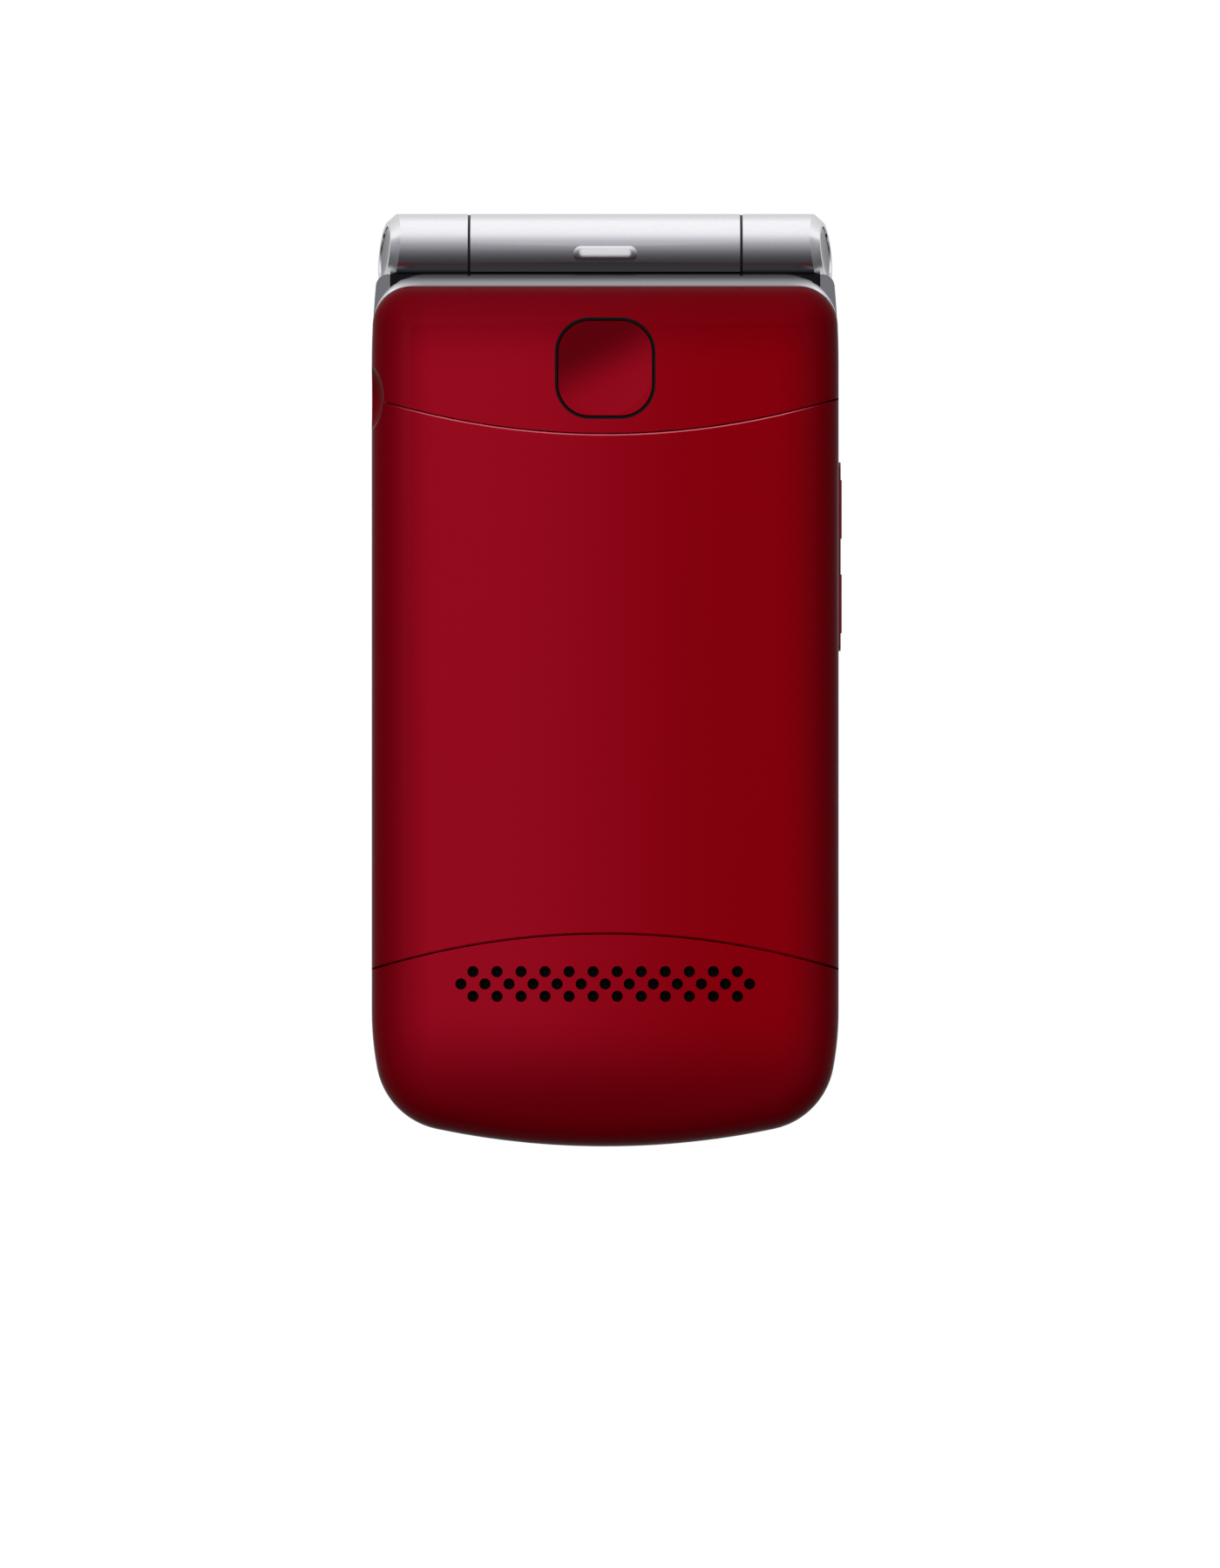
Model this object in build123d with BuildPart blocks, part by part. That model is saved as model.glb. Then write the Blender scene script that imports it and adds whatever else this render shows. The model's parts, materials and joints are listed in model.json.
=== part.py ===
from build123d import *
import os
from math import radians, tan

# A flip phone lying closed on its display half, back face up, hinge towards +Y.
# X is the phone's width, Y its length and Z its thickness, in millimetres.
# The origin is on the flat outer face of the display half (the lid), at the middle of its length.

# Overall size
body_width = 52.0
overall_length = 104.2
closed_thickness = 19.8
lid_thickness = 8.2
lid_base_gap = 0.6

# Hinge barrel
barrel_radius = 4.3
barrel_axis_height = 8.5
barrel_bore_radius = 2.9
knuckle_length = 9.5
knuckle_gap = 0.3
knuckle_swing_clearance = 0.3
barrel_end_inset = 1.3
knuckle_plan_draft = 6.0
knuckle_back_draft = 11.0
knuckle_chamfer = 0.9

# Plan outline
shoulder_length = 12.8
shoulder_narrowing = 0.85
tail_length = 15.2
tail_narrowing = 2.1
bottom_bow = 3.2
bottom_corner_radius = 8.5
frame_end_setback = 2.6
rear_end_setback = 4.0
rear_end_corner_radius = 4.4

# Back of the base
back_edge_radius = 4.4
tail_droop_length = 12.6
tail_droop = 2.4
housing_wall = 1.3
partition_wall = 0.9
frame_wall = 1.4
frame_height = 4.4
frame_end_rise = 2.4
frame_rise_setback = 15.8
frame_rise_length = 9.0
frame_end_rounding = 1.8
frame_front_rounding = 0.5

# Battery cover and its bay
cover_wall = 1.2
cover_skirt_height = 6.8
cover_edge_chamfer = 0.14
cover_gap = 0.15
cover_top_setback = 20.5
cover_bottom_setback = 23.7
cover_arc_bow = 4.0
notch_length = 7.4
notch_depth = 1.6
notch_height = 8.5
bay_end_wall = 2.55
battery_side_margin = 7.0
battery_thickness = 4.3
battery_edge_radius = 1.2
battery_slack = 0.3
bay_floor_height = 4.2
bay_floor_thickness = 0.8
rail_pocket_width = 3.2
rail_wall = 1.0

# Rounded-square emergency button
button_width = 10.4
button_length = 10.5
button_corner_radius = 3.5
button_height = 2.0
button_dish = 0.35
button_recess = 0.05
button_travel = 0.6
button_gap = 0.13
button_seal_wall = 0.27
button_setback = 9.3
button_stop_gap = 0.15

# Loudspeaker grille
grille_hole_radius = 0.63
grille_pitch = 2.67
grille_row_pitch = 1.37
grille_setback = 18.2
grille_columns = 13
mesh_margin = 0.6
mesh_thickness = 0.2
speaker_length = 34.0
speaker_width = 9.0
speaker_thickness = 3.2

# Volume rocker
rocker_length = 21.1
rocker_width = 2.4
rocker_proud = 0.4
rocker_setback = 34.1
rocker_height = 2.3
rocker_gap = 0.15
rocker_depth = 3.6
rocker_flange = 0.5
rocker_flange_thickness = 0.8
rocker_pad_share = 0.19
rocker_pad_relief = 0.12
rocker_end_radius = 0.9
rocker_pivot_radius = 0.45

# Keypad
keypad_plate_thickness = 1.0
keypad_plate_margin = 0.15
key_proud = 0.15
key_thickness = 1.15
key_travel = 0.4
key_gap = 0.2
key_rest_gap = 0.1
key_corner_radius = 1.6
key_edge_rounding = 0.35
digit_columns = 3
digit_column_gap = 0.9
digit_row_gap = 1.6
digit_side_margin = 4.4
digit_head_setback = 37.5
digit_foot_setback = 15.2
soft_side_margin = 4.0
soft_length = 7.0
soft_setback = 14.8
call_length = 9.6
call_setback = 27.4
ring_width = 17.4
ring_length = 22.0
ring_setback = 21.8
ring_side_gap = 1.3
ring_corner_radius = 6.0
centre_key_radius = 4.1
mat_thickness = 0.5
dome_sheet_thickness = 0.15
dome_radius = 2.2
dome_height = 0.12
dome_rest_gap = 0.03
dome_slope = 45.0

# Boards and inner parts of the base
board_thickness = 0.8
board_side_margin = 3.8
board_head_setback = 6.8
board_foot_setback = 3.1
board_corner_radius = 3.0
can_height = 1.05
can_count = 2
can_gap = 1.1
can_width = 30.0
port_width = 7.5
port_height = 2.6
port_length = 5.6
port_wall = 0.35
port_gap = 0.15
port_tongue = 0.7
port_axis_height = 2.5
port_tongue_share = 0.55
connector_width = 9.0
connector_length = 1.6
connector_height_share = 0.75
contact_width = 1.2
contact_pitch = 2.6
sim_width = 26.0
sim_length = 15.0
sim_wall = 0.6
motor_radius = 4.0
motor_thickness = 2.7
motor_side_inset = 9.0
motor_setback = 9.1
microphone_radius = 2.0
microphone_thickness = 1.2
microphone_x = 10.0
microphone_setback = 5.9
microphone_hole_radius = 0.5
antenna_side_margin = 7.0
antenna_length = 7.6
antenna_wall = 1.2
switch_size = 4.0
switch_height = 1.4
switch_stem_radius = 0.9
switch_stem_height = 0.4
side_switch_pitch = 12.0
screw_radius = 0.7
screw_head_radius = 1.2
screw_head_height = 0.7
screw_length = 3.4
screw_boss_radius = 1.5
screw_boss_inset = 2.8
boss_lift = 0.1
screw_cross = 1.2
screw_cross_width = 0.3

# Lid
lid_inset = 0.25
lid_edge_radius = 2.4
lid_wall = 1.2
lid_split_height = 5.0
lid_inner_rounding = 0.5
lid_roof = 1.0
lid_can_height = 1.4
lid_can_width = 24.0
lid_can_length = 18.0
lid_can_setback = 27.8
lid_post_radius = 1.5
window_gap = 0.15
outer_window_width = 30.0
outer_window_length = 26.0
outer_window_radius = 3.0
outer_window_thickness = 0.8
outer_window_recess = 0.1
outer_window_setback = 23.8
outer_window_ledge = 0.8
outer_module_margin = 0.9
outer_module_thickness = 1.7
main_window_side_margin = 3.5
main_window_head_setback = 14.3
main_window_foot_setback = 21.6
main_window_radius = 3.0
main_window_thickness = 0.8
main_window_recess = 0.05
main_window_ledge = 1.2
panel_side_margin = 2.5
panel_end_margin = 4.5
panel_thickness = 1.9
lid_board_side_margin = 7.0
lid_board_head_setback = 12.8
lid_board_foot_setback = 17.1
lid_board_thickness = 0.6
earpiece_width = 13.0
earpiece_length = 5.0
earpiece_thickness = 1.6
earpiece_setback = 13.6
earpiece_slot_width = 9.0
earpiece_slot_length = 1.5
earpiece_mesh_thickness = 0.25
magnet_radius = 2.0
magnet_thickness = 1.2
magnet_side_inset = 9.0
magnet_setback = 12.6
bumper_radius = 1.8
bumper_thickness = 0.7
bumper_proud = 0.35
bumper_side_inset = 8.0
bumper_setback = 8.5
web_reach = 1.8
lid_screw_inset = 4.0
lid_screw_head_setback = 9.8
lid_screw_foot_setback = 13.6

# Hinge parts
cartridge_inner_x = 5.05
cartridge_shaft_radius = 1.5
running_clearance = 0.05
cam_head_length = 3.4
cam_shaft_length = 4.0
bush_flange_length = 3.4
bush_journal_length = 3.6
bush_wall = 0.6
flex_inner_x = 5.9
flex_radius = 2.0
flex_wall = 0.3
end_cap_radius = 2.8
end_cap_thickness = 1.2
end_cap_recess = 0.15
end_cap_dish = 0.35
end_cap_rim = 0.35
lamp_width = 7.3
lamp_length = 2.0
lamp_y = -0.4
lamp_rim = 0.5
lamp_gap = 0.05
lamp_recess = 0.3
lamp_bevel_depth = 0.45
lamp_bevel_slope = 45.0
led_length = 2.6
led_width = 0.9
led_height = 0.5
led_board_length = 6.5
led_board_width = 3.3
led_board_thickness = 0.6
led_board_lift = 1.7

# Made long enough to pass through anything it cuts
overrun = 120.0
quarter_turn = 90.0

# Places that follow from the sizes above
half_width = body_width / 2
hinge_y = overall_length / 2 - barrel_radius
bottom_y = -overall_length / 2
back_z = closed_thickness
base_low_z = lid_thickness + lid_base_gap
axis_z = barrel_axis_height
swing_radius = barrel_radius + knuckle_swing_clearance
frame_end_y = hinge_y - frame_end_setback
rear_end_y = hinge_y - rear_end_setback
parting_z = base_low_z + frame_height
notch_y = hinge_y - cover_top_setback + cover_arc_bow
notch_z = base_low_z + notch_height
skirt_z = base_low_z + cover_skirt_height
knuckle_joint_x = half_width - barrel_end_inset - knuckle_length
frame_rise_start = hinge_y - frame_rise_setback
button_y = rear_end_y - button_setback
rocker_y = hinge_y - rocker_setback
grille_y = bottom_y + grille_setback
motor_x = half_width - motor_side_inset
motor_y = bottom_y + motor_setback
microphone_y = bottom_y + microphone_setback
plate_high_z = base_low_z + keypad_plate_thickness
key_low_z = base_low_z - key_proud
mat_low_z = key_low_z + key_thickness + key_travel + key_rest_gap
mat_high_z = mat_low_z + mat_thickness
sheet_low_z = mat_high_z + dome_height + dome_rest_gap
board_low_z = sheet_low_z + dome_sheet_thickness
board_high_z = board_low_z + board_thickness
bay_low_z = base_low_z + bay_floor_height
bay_high_z = bay_low_z + bay_floor_thickness
battery_length = hinge_y - cover_top_setback - bottom_y - cover_bottom_setback
battery_length = battery_length - 2 * (bay_end_wall + battery_slack)
battery_width = body_width - 2 * battery_side_margin
bay_half_length = battery_length / 2 + battery_slack
bay_half_width = battery_width / 2 + battery_slack
roof_low_z = back_z - housing_wall
rocker_z = base_low_z + rocker_height
port_z = base_low_z + port_axis_height
port_end_y = bottom_y + frame_wall / 2
cover_top_y = hinge_y - cover_top_setback
cover_low_y = bottom_y + cover_bottom_setback
bay_y = (cover_top_y + cover_low_y) / 2
screw_boss_x = half_width - screw_boss_inset
screw_places = [(side * screw_boss_x, y) for side in (-1, 1) for y in (cover_low_y, cover_top_y)]


def write_part(part, name):
    """Label a finished piece and write it to its own file."""
    part.label = name
    export_step(part, "parts/" + name + ".step")


def plan_outline(inset, end_y, end_corner):
    """The phone's outline from above, cut off at end_y, moved in by inset."""
    tail_y = bottom_y + tail_length
    tail_x = half_width - tail_narrowing
    tail_end_y = bottom_y + bottom_bow
    shoulder_x = half_width - shoulder_narrowing
    with BuildSketch() as outline:
        with BuildLine():
            shoulder = TangentArc(
                (half_width, hinge_y - shoulder_length), (shoulder_x, hinge_y), tangent=(0, 1)
            )
            Line((half_width, tail_y), shoulder @ 0)
            tail = TangentArc((half_width, tail_y), (tail_x, tail_end_y), tangent=(0, -1))
            bottom = ThreePointArc(tail @ 1, (0, bottom_y), (-tail_x, tail_end_y))
            left_tail = TangentArc((-half_width, tail_y), bottom @ 1, tangent=(0, -1))
            left_shoulder = TangentArc(
                (-half_width, hinge_y - shoulder_length), (-shoulder_x, hinge_y), tangent=(0, 1)
            )
            Line(left_tail @ 0, left_shoulder @ 0)
            Line(left_shoulder @ 1, shoulder @ 1)
        make_face()
        fillet(outline.vertices().sort_by(Axis.Y)[:2], bottom_corner_radius)
        with Locations((0, end_y - overrun)):
            Rectangle(body_width * 2, overrun * 2, mode=Mode.INTERSECT)
        if end_corner > 0:
            fillet(outline.vertices().sort_by(Axis.Y)[-2:], end_corner)
        if inset > 0:
            offset(amount=-inset)
    return outline.sketch


def rear_form(inset):
    """The rounded back of the base as a solid, with every face moved in by inset."""
    top_z = back_z - inset
    above_z = back_z + housing_wall
    droop_y = bottom_y + tail_droop_length
    droop_radius = (tail_droop_length**2 + tail_droop**2) / (2 * tail_droop)
    droop_run = tail_droop_length + frame_wall
    droop_drop = droop_radius - (droop_radius**2 - droop_run**2) ** 0.5
    with BuildPart() as form:
        with BuildSketch(Plane.XY.offset(base_low_z)):
            add(plan_outline(inset, rear_end_y, rear_end_corner_radius))
        extrude(amount=top_z - base_low_z)
        with BuildSketch(Plane.YZ):
            with BuildLine():
                bend = TangentArc(
                    (droop_y, top_z), (droop_y - droop_run, top_z - droop_drop), tangent=(-1, 0)
                )
                Polyline(bend @ 1, (droop_y - droop_run, above_z), (droop_y, above_z), bend @ 0)
            make_face()
        extrude(amount=body_width, both=True, mode=Mode.SUBTRACT)
        rim = form.edges().filter_by(lambda e: e.center().Z > top_z - tail_droop - frame_wall)
        rim = rim.filter_by(
            lambda e: abs(e.center().Y - droop_y) > frame_wall or abs(e.center().X) > frame_wall
        )
        rim = rim.filter_by(lambda e: abs(e.tangent_at(0.5).Z) < 0.9)
        fillet(rim, back_edge_radius - inset)
    return form.part


def below_parting(lift):
    """Everything below the wavy line where the silver frame meets the red back."""
    rise_mid_y = frame_rise_start + frame_rise_length / 2
    rise_end_y = frame_rise_start + frame_rise_length
    low = parting_z + lift
    high = low + frame_end_rise
    with BuildPart() as lower:
        with BuildSketch(Plane.YZ):
            with BuildLine():
                run = Line((-overrun, low), (frame_rise_start, low))
                TangentArc(run @ 1, (rise_mid_y, (low + high) / 2), tangent=(1, 0))
                second = TangentArc((rise_end_y, high), (rise_mid_y, (low + high) / 2), tangent=(-1, 0))
                Polyline(second @ 0, (overrun, high), (overrun, -overrun), (-overrun, -overrun), run @ 0)
            make_face()
        extrude(amount=overrun, both=True)
    return lower.part


def cover_zone(inset):
    """The plan area of the battery cover between its two curved lines, moved in by inset."""
    top_mid = cover_top_y - inset
    low_mid = cover_low_y + inset
    beyond = half_width + cover_wall
    with BuildSketch() as zone:
        with BuildLine():
            top_edge = top_mid + cover_arc_bow
            low_edge = low_mid - cover_arc_bow
            top = ThreePointArc((-half_width, top_edge), (0, top_mid), (half_width, top_edge))
            low = ThreePointArc((-half_width, low_edge), (0, low_mid), (half_width, low_edge))
            Polyline(top @ 0, (-beyond, top_edge), (-beyond, low_edge), low @ 0)
            Polyline(top @ 1, (beyond, top_edge), (beyond, low_edge), low @ 1)
        make_face()
    return zone.sketch


def nail_scoop():
    """The ball that cuts the thumbnail notch into the left edge."""
    radius = ((notch_length / 2) ** 2 + notch_depth**2) / (2 * notch_depth)
    with BuildPart() as scoop:
        with Locations((-half_width + notch_depth - radius, notch_y, notch_z)):
            Sphere(radius)
    return scoop.part


def end_plane(side, inset):
    """The slanted plane at one end of the hinge barrel, facing outwards."""
    reach = knuckle_joint_x + knuckle_length - inset
    normal = Vector(side, tan(radians(knuckle_plan_draft)), tan(radians(knuckle_back_draft)))
    return Plane(origin=(side * reach, hinge_y, axis_z), z_dir=normal)


def barrel_plane(x):
    """A plane across the hinge barrel at x, facing +X, with its origin on the hinge axis."""
    return Plane(origin=(x, hinge_y, axis_z), x_dir=(0, 1, 0), z_dir=(1, 0, 0))


os.makedirs("parts", exist_ok=True)

window_low_z = lid_thickness - main_window_recess - main_window_thickness
panel_low_z = window_low_z - panel_thickness
lid_board_low_z = panel_low_z - lid_board_thickness
lid_roof_z = lid_thickness - lid_roof
barrel_half_length = knuckle_joint_x - knuckle_gap / 2
cartridge_length = barrel_half_length - cartridge_inner_x
web_low_z = lid_split_height
lid_screw_x = half_width - lid_screw_inset
lid_screw_ys = (hinge_y - lid_screw_head_setback, bottom_y + lid_screw_foot_setback)
lid_screw_places = [(side * lid_screw_x, y) for side in (-1, 1) for y in lid_screw_ys]

outer_window_y = hinge_y - outer_window_setback
main_window_width = body_width - 2 * main_window_side_margin
main_window_high_y = hinge_y - main_window_head_setback
main_window_low_y = bottom_y + main_window_foot_setback
main_window_length = main_window_high_y - main_window_low_y
main_window_y = (main_window_high_y + main_window_low_y) / 2
panel_width = main_window_width - 2 * panel_side_margin
panel_length = main_window_length - 2 * panel_end_margin
lid_board_width = body_width - 2 * lid_board_side_margin
lid_board_high_y = hinge_y - lid_board_head_setback
lid_board_low_y = bottom_y + lid_board_foot_setback
lid_can_y = hinge_y - lid_can_setback
earpiece_y = bottom_y + earpiece_setback
magnet_place = (half_width - magnet_side_inset, bottom_y + magnet_setback)
bumper_x = half_width - bumper_side_inset
bumper_places = [(side * bumper_x, bottom_y + bumper_setback) for side in (-1, 1)]

rear_outer = rear_form(0)
rear_inner = rear_form(housing_wall)
rear_core = rear_form(cover_wall + cover_gap)
cover_inner = rear_form(cover_wall)


# Silver frame of the base with the two outer knuckles of the hinge
def side_knuckle(side):
    """One outer knuckle, with its slanted and chamfered end."""
    with BuildPart() as knuckle:
        with BuildSketch(barrel_plane(side * (knuckle_joint_x + knuckle_gap / 2))):
            Circle(barrel_radius)
        extrude(amount=side * (knuckle_length + barrel_radius))
        split(bisect_by=end_plane(side, 0), keep=Keep.BOTTOM)
        end_face = knuckle.faces().sort_by(Axis.X)[-1 if side > 0 else 0]
        chamfer(end_face.edges(), knuckle_chamfer)
    return knuckle.part


shoulder_z = axis_z + barrel_radius
shoulder_radius = rear_end_corner_radius + frame_end_y - rear_end_y
shoulder_low_y = frame_end_y - shoulder_radius


def frame_shoulders():
    """The raised end of the frame, rounded along its top and round both corners."""
    with BuildPart() as shoulders:
        with BuildSketch(Plane.XY.offset(shoulder_z)):
            add(plan_outline(0, frame_end_y, shoulder_radius))
            with Locations((0, shoulder_low_y)):
                Rectangle(2 * body_width, overrun, align=(Align.CENTER, Align.MIN), mode=Mode.INTERSECT)
        extrude(amount=parting_z + frame_end_rise - shoulder_z)
        rim = shoulders.faces().sort_by(Axis.Z)[-1].edges()
        fillet(rim.filter_by(lambda e: e.center().Y > shoulder_low_y + frame_wall), frame_end_rounding)
    return shoulders.part


with BuildPart() as base_frame:
    with BuildSketch(Plane.XY.offset(base_low_z)):
        add(plan_outline(0, frame_end_y, frame_wall))
    extrude(amount=frame_height + frame_end_rise)
    front_rim = base_frame.faces().sort_by(Axis.Z)[0].edges()
    fillet(front_rim, frame_front_rounding)
    with BuildSketch(Plane.XY.offset(shoulder_z)):
        with Locations((0, shoulder_low_y)):
            Rectangle(2 * body_width, overrun, align=(Align.CENTER, Align.MIN))
    extrude(amount=overrun, mode=Mode.SUBTRACT)
    add(frame_shoulders())
    add(below_parting(0), mode=Mode.INTERSECT)
    with BuildSketch(Plane.XY.offset(base_low_z)):
        add(plan_outline(frame_wall, rear_end_y, rear_end_corner_radius))
    extrude(amount=overrun, mode=Mode.SUBTRACT)
    with BuildSketch(barrel_plane(0)):
        Circle(swing_radius)
    extrude(amount=knuckle_joint_x + knuckle_gap / 2, both=True, mode=Mode.SUBTRACT)
    for side in (-1, 1):
        web_depth = rear_end_setback
        web_height = axis_z - base_low_z
        with BuildSketch(barrel_plane(side * (knuckle_joint_x + knuckle_gap / 2))):
            with Locations((0, base_low_z - axis_z)):
                Rectangle(web_depth, web_height, align=(Align.MAX, Align.MIN))
        extrude(amount=side * (knuckle_length - knuckle_chamfer - knuckle_gap))
        add(side_knuckle(side))
        with BuildSketch(barrel_plane(side * knuckle_joint_x)):
            Circle(barrel_bore_radius)
        extrude(amount=side * overrun, mode=Mode.SUBTRACT)
    for place in screw_places:
        with BuildSketch(Plane.XY.offset(plate_high_z + boss_lift)):
            with Locations(place):
                Circle(screw_boss_radius)
        extrude(amount=bay_low_z - plate_high_z - boss_lift)
        with BuildSketch(Plane.XY.offset(plate_high_z + boss_lift)):
            with Locations(place):
                Circle(screw_radius)
        extrude(amount=overrun, mode=Mode.SUBTRACT)
    with BuildSketch(Plane.YZ.offset(half_width - frame_wall * 2)):
        with Locations((rocker_y, rocker_z)):
            Rectangle(rocker_length + 2 * rocker_gap, rocker_width + 2 * rocker_gap)
    extrude(amount=overrun, mode=Mode.SUBTRACT)
    with BuildSketch(Plane.XZ.offset(-bottom_y - port_length)):
        with Locations((0, port_z)):
            Rectangle(port_width + 2 * port_gap, port_height + 2 * port_gap)
    extrude(amount=overrun, mode=Mode.SUBTRACT)
write_part(base_frame.part, "base_frame")

# Red back housing of the base, with the battery bay, the button hole and the grille
with BuildPart() as under_hollow:
    add(rear_inner)
    split(bisect_by=Plane.XY.offset(bay_low_z), keep=Keep.BOTTOM)

with BuildPart() as end_pockets:
    add(rear_inner)
    with BuildSketch(Plane.XY):
        add(cover_zone(-partition_wall))
    extrude(amount=overrun, mode=Mode.SUBTRACT)
    with Locations((-half_width + notch_depth - notch_length, notch_y, notch_z)):
        Sphere(notch_length + housing_wall, mode=Mode.SUBTRACT)

with BuildPart() as cover_pocket:
    with BuildSketch(Plane.XY.offset(skirt_z)):
        add(cover_zone(0))
    extrude(amount=overrun)
    add(rear_core, mode=Mode.SUBTRACT)

seal_side = 2 * (button_gap + button_seal_wall)
grille_places = []
for row in (-1, 0, 1):
    columns = grille_columns - abs(row)
    for column in range(columns):
        x = (column - (columns - 1) / 2) * grille_pitch
        grille_places.append((x, grille_y + row * grille_row_pitch))

with BuildPart() as rear_housing:
    add(rear_outer)
    add(below_parting(0), mode=Mode.SUBTRACT)
    add(under_hollow.part, mode=Mode.SUBTRACT)
    add(end_pockets.part, mode=Mode.SUBTRACT)
    add(cover_pocket.part, mode=Mode.SUBTRACT)
    add(nail_scoop(), mode=Mode.SUBTRACT)
    with BuildSketch(Plane.XY.offset(bay_high_z)):
        with Locations((0, bay_y)):
            RectangleRounded(2 * bay_half_width, 2 * bay_half_length, battery_edge_radius)
        for side in (-1, 1):
            pocket_x = side * (bay_half_width + rail_wall + rail_pocket_width / 2)
            with Locations((pocket_x, bay_y)):
                Rectangle(rail_pocket_width, 2 * (bay_half_length - screw_head_radius))
    extrude(amount=overrun, mode=Mode.SUBTRACT)
    with BuildSketch(Plane.XY.offset(bay_low_z)):
        with Locations((0, bay_y + bay_half_length)):
            Rectangle(
                connector_width + 2 * battery_slack,
                connector_length + battery_slack,
                align=(Align.CENTER, Align.MIN),
            )
        with Locations((0, bay_y - bay_half_length / 2)):
            Rectangle(sim_width + 2 * battery_slack, sim_length + 2 * battery_slack)
    extrude(amount=overrun, mode=Mode.SUBTRACT)
    with BuildSketch(Plane.XY.offset(roof_low_z - housing_wall)):
        with Locations((0, button_y)):
            RectangleRounded(
                button_width + seal_side,
                button_length + seal_side,
                button_corner_radius + seal_side / 2,
            )
        with Locations(*grille_places):
            Circle(grille_hole_radius)
    extrude(amount=overrun, mode=Mode.SUBTRACT)
    with BuildSketch(Plane.XY.offset(bay_low_z)):
        with Locations(*screw_places):
            Circle(screw_radius)
    extrude(amount=overrun, mode=Mode.SUBTRACT)
    with BuildSketch(Plane.XY.offset(bay_high_z)):
        with Locations(*screw_places):
            Circle(screw_head_radius)
    extrude(amount=overrun, mode=Mode.SUBTRACT)
write_part(rear_housing.part, "rear_housing")

# Battery cover
with BuildPart() as battery_cover:
    with BuildSketch(Plane.XY.offset(skirt_z + cover_gap)):
        add(cover_zone(cover_gap))
    extrude(amount=overrun)
    add(rear_outer, mode=Mode.INTERSECT)
    add(cover_inner, mode=Mode.SUBTRACT)
    add(nail_scoop(), mode=Mode.SUBTRACT)
    flat_arcs = battery_cover.edges().filter_by(lambda e: abs(e.center().Z - back_z) < cover_gap)
    flat_arcs = flat_arcs.filter_by(GeomType.CIRCLE)
    chamfer(flat_arcs, cover_edge_chamfer)
write_part(battery_cover.part, "battery_cover")

# Battery pack
with BuildPart() as battery:
    with BuildSketch(Plane.XY.offset(bay_high_z)):
        with Locations((0, bay_y)):
            RectangleRounded(battery_width, battery_length, battery_edge_radius)
    extrude(amount=battery_thickness)
    chamfer(battery.faces().sort_by(Axis.Z)[-1].edges(), battery_slack)
write_part(battery.part, "battery")

# Rounded-square button with its black seal ring
with BuildPart() as emergency_button:
    with BuildSketch(Plane.XY.offset(back_z - button_recess - button_height)):
        with Locations((0, button_y)):
            RectangleRounded(button_width, button_length, button_corner_radius)
    extrude(amount=button_height)
    dish_radius = ((button_width / 2) ** 2 + button_dish**2) / (2 * button_dish)
    dish_centre = (0, button_y, back_z - button_recess - button_dish + dish_radius)
    with Locations(Location(dish_centre, (quarter_turn, 0, 0))):
        Sphere(dish_radius, mode=Mode.SUBTRACT)
write_part(emergency_button.part, "emergency_button")

with BuildPart() as emergency_button_seal:
    with BuildSketch(Plane.XY.offset(roof_low_z)):
        with Locations((0, button_y)):
            RectangleRounded(
                button_width + seal_side, button_length + seal_side, button_corner_radius + seal_side / 2
            )
            RectangleRounded(
                button_width + 2 * button_gap,
                button_length + 2 * button_gap,
                button_corner_radius + button_gap,
                mode=Mode.SUBTRACT,
            )
    extrude(amount=housing_wall - button_recess)
write_part(emergency_button_seal.part, "emergency_button_seal")

# Volume rocker in the right-hand edge
with BuildPart() as volume_rocker:
    with BuildSketch(Plane.YZ.offset(half_width + rocker_proud - rocker_depth)):
        with Locations((rocker_y, rocker_z)):
            RectangleRounded(rocker_length, rocker_width, rocker_end_radius)
    extrude(amount=rocker_depth)
    outer_face = volume_rocker.faces().sort_by(Axis.X)[-1]
    fillet(outer_face.edges(), rocker_proud / 2)
    with BuildSketch(Plane.YZ.offset(half_width + rocker_proud - rocker_depth)):
        with Locations((rocker_y, rocker_z)):
            Rectangle(rocker_length + 2 * rocker_flange, rocker_width)
    extrude(amount=rocker_flange_thickness)
    with BuildSketch(Plane.XY.offset(rocker_z - rocker_width / 2)):
        with Locations((half_width + rocker_proud - rocker_depth, rocker_y)):
            Circle(rocker_pivot_radius)
    extrude(amount=rocker_width)
    with BuildSketch(Plane.YZ.offset(half_width + rocker_proud - rocker_pad_relief)):
        for step in (-1, 0, 1):
            relief_y = rocker_y + step * rocker_length / 2
            with Locations((relief_y, rocker_z)):
                Rectangle(rocker_length * rocker_pad_share, rocker_width * 2)
    extrude(amount=overrun, mode=Mode.SUBTRACT)
write_part(volume_rocker.part, "volume_rocker")

# Keypad plate and keys
digit_rows = (
    ("key_1", "key_2", "key_3"),
    ("key_4", "key_5", "key_6"),
    ("key_7", "key_8", "key_9"),
    ("key_star", "key_0", "key_hash"),
)
soft_y = hinge_y - soft_setback
call_y = hinge_y - call_setback
ring_y = hinge_y - ring_setback
soft_inner_x = ring_width / 2 + ring_side_gap
soft_width = half_width - soft_side_margin - soft_inner_x
soft_x = soft_inner_x + soft_width / 2
digit_head_y = hinge_y - digit_head_setback
digit_foot_y = bottom_y + digit_foot_setback
digit_pitch_x = (body_width - 2 * digit_side_margin + digit_column_gap) / digit_columns
digit_pitch_y = (digit_head_y - digit_foot_y + digit_row_gap) / len(digit_rows)
digit_width = digit_pitch_x - digit_column_gap
digit_length = digit_pitch_y - digit_row_gap
digit_top_y = digit_head_y - digit_length / 2

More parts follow.
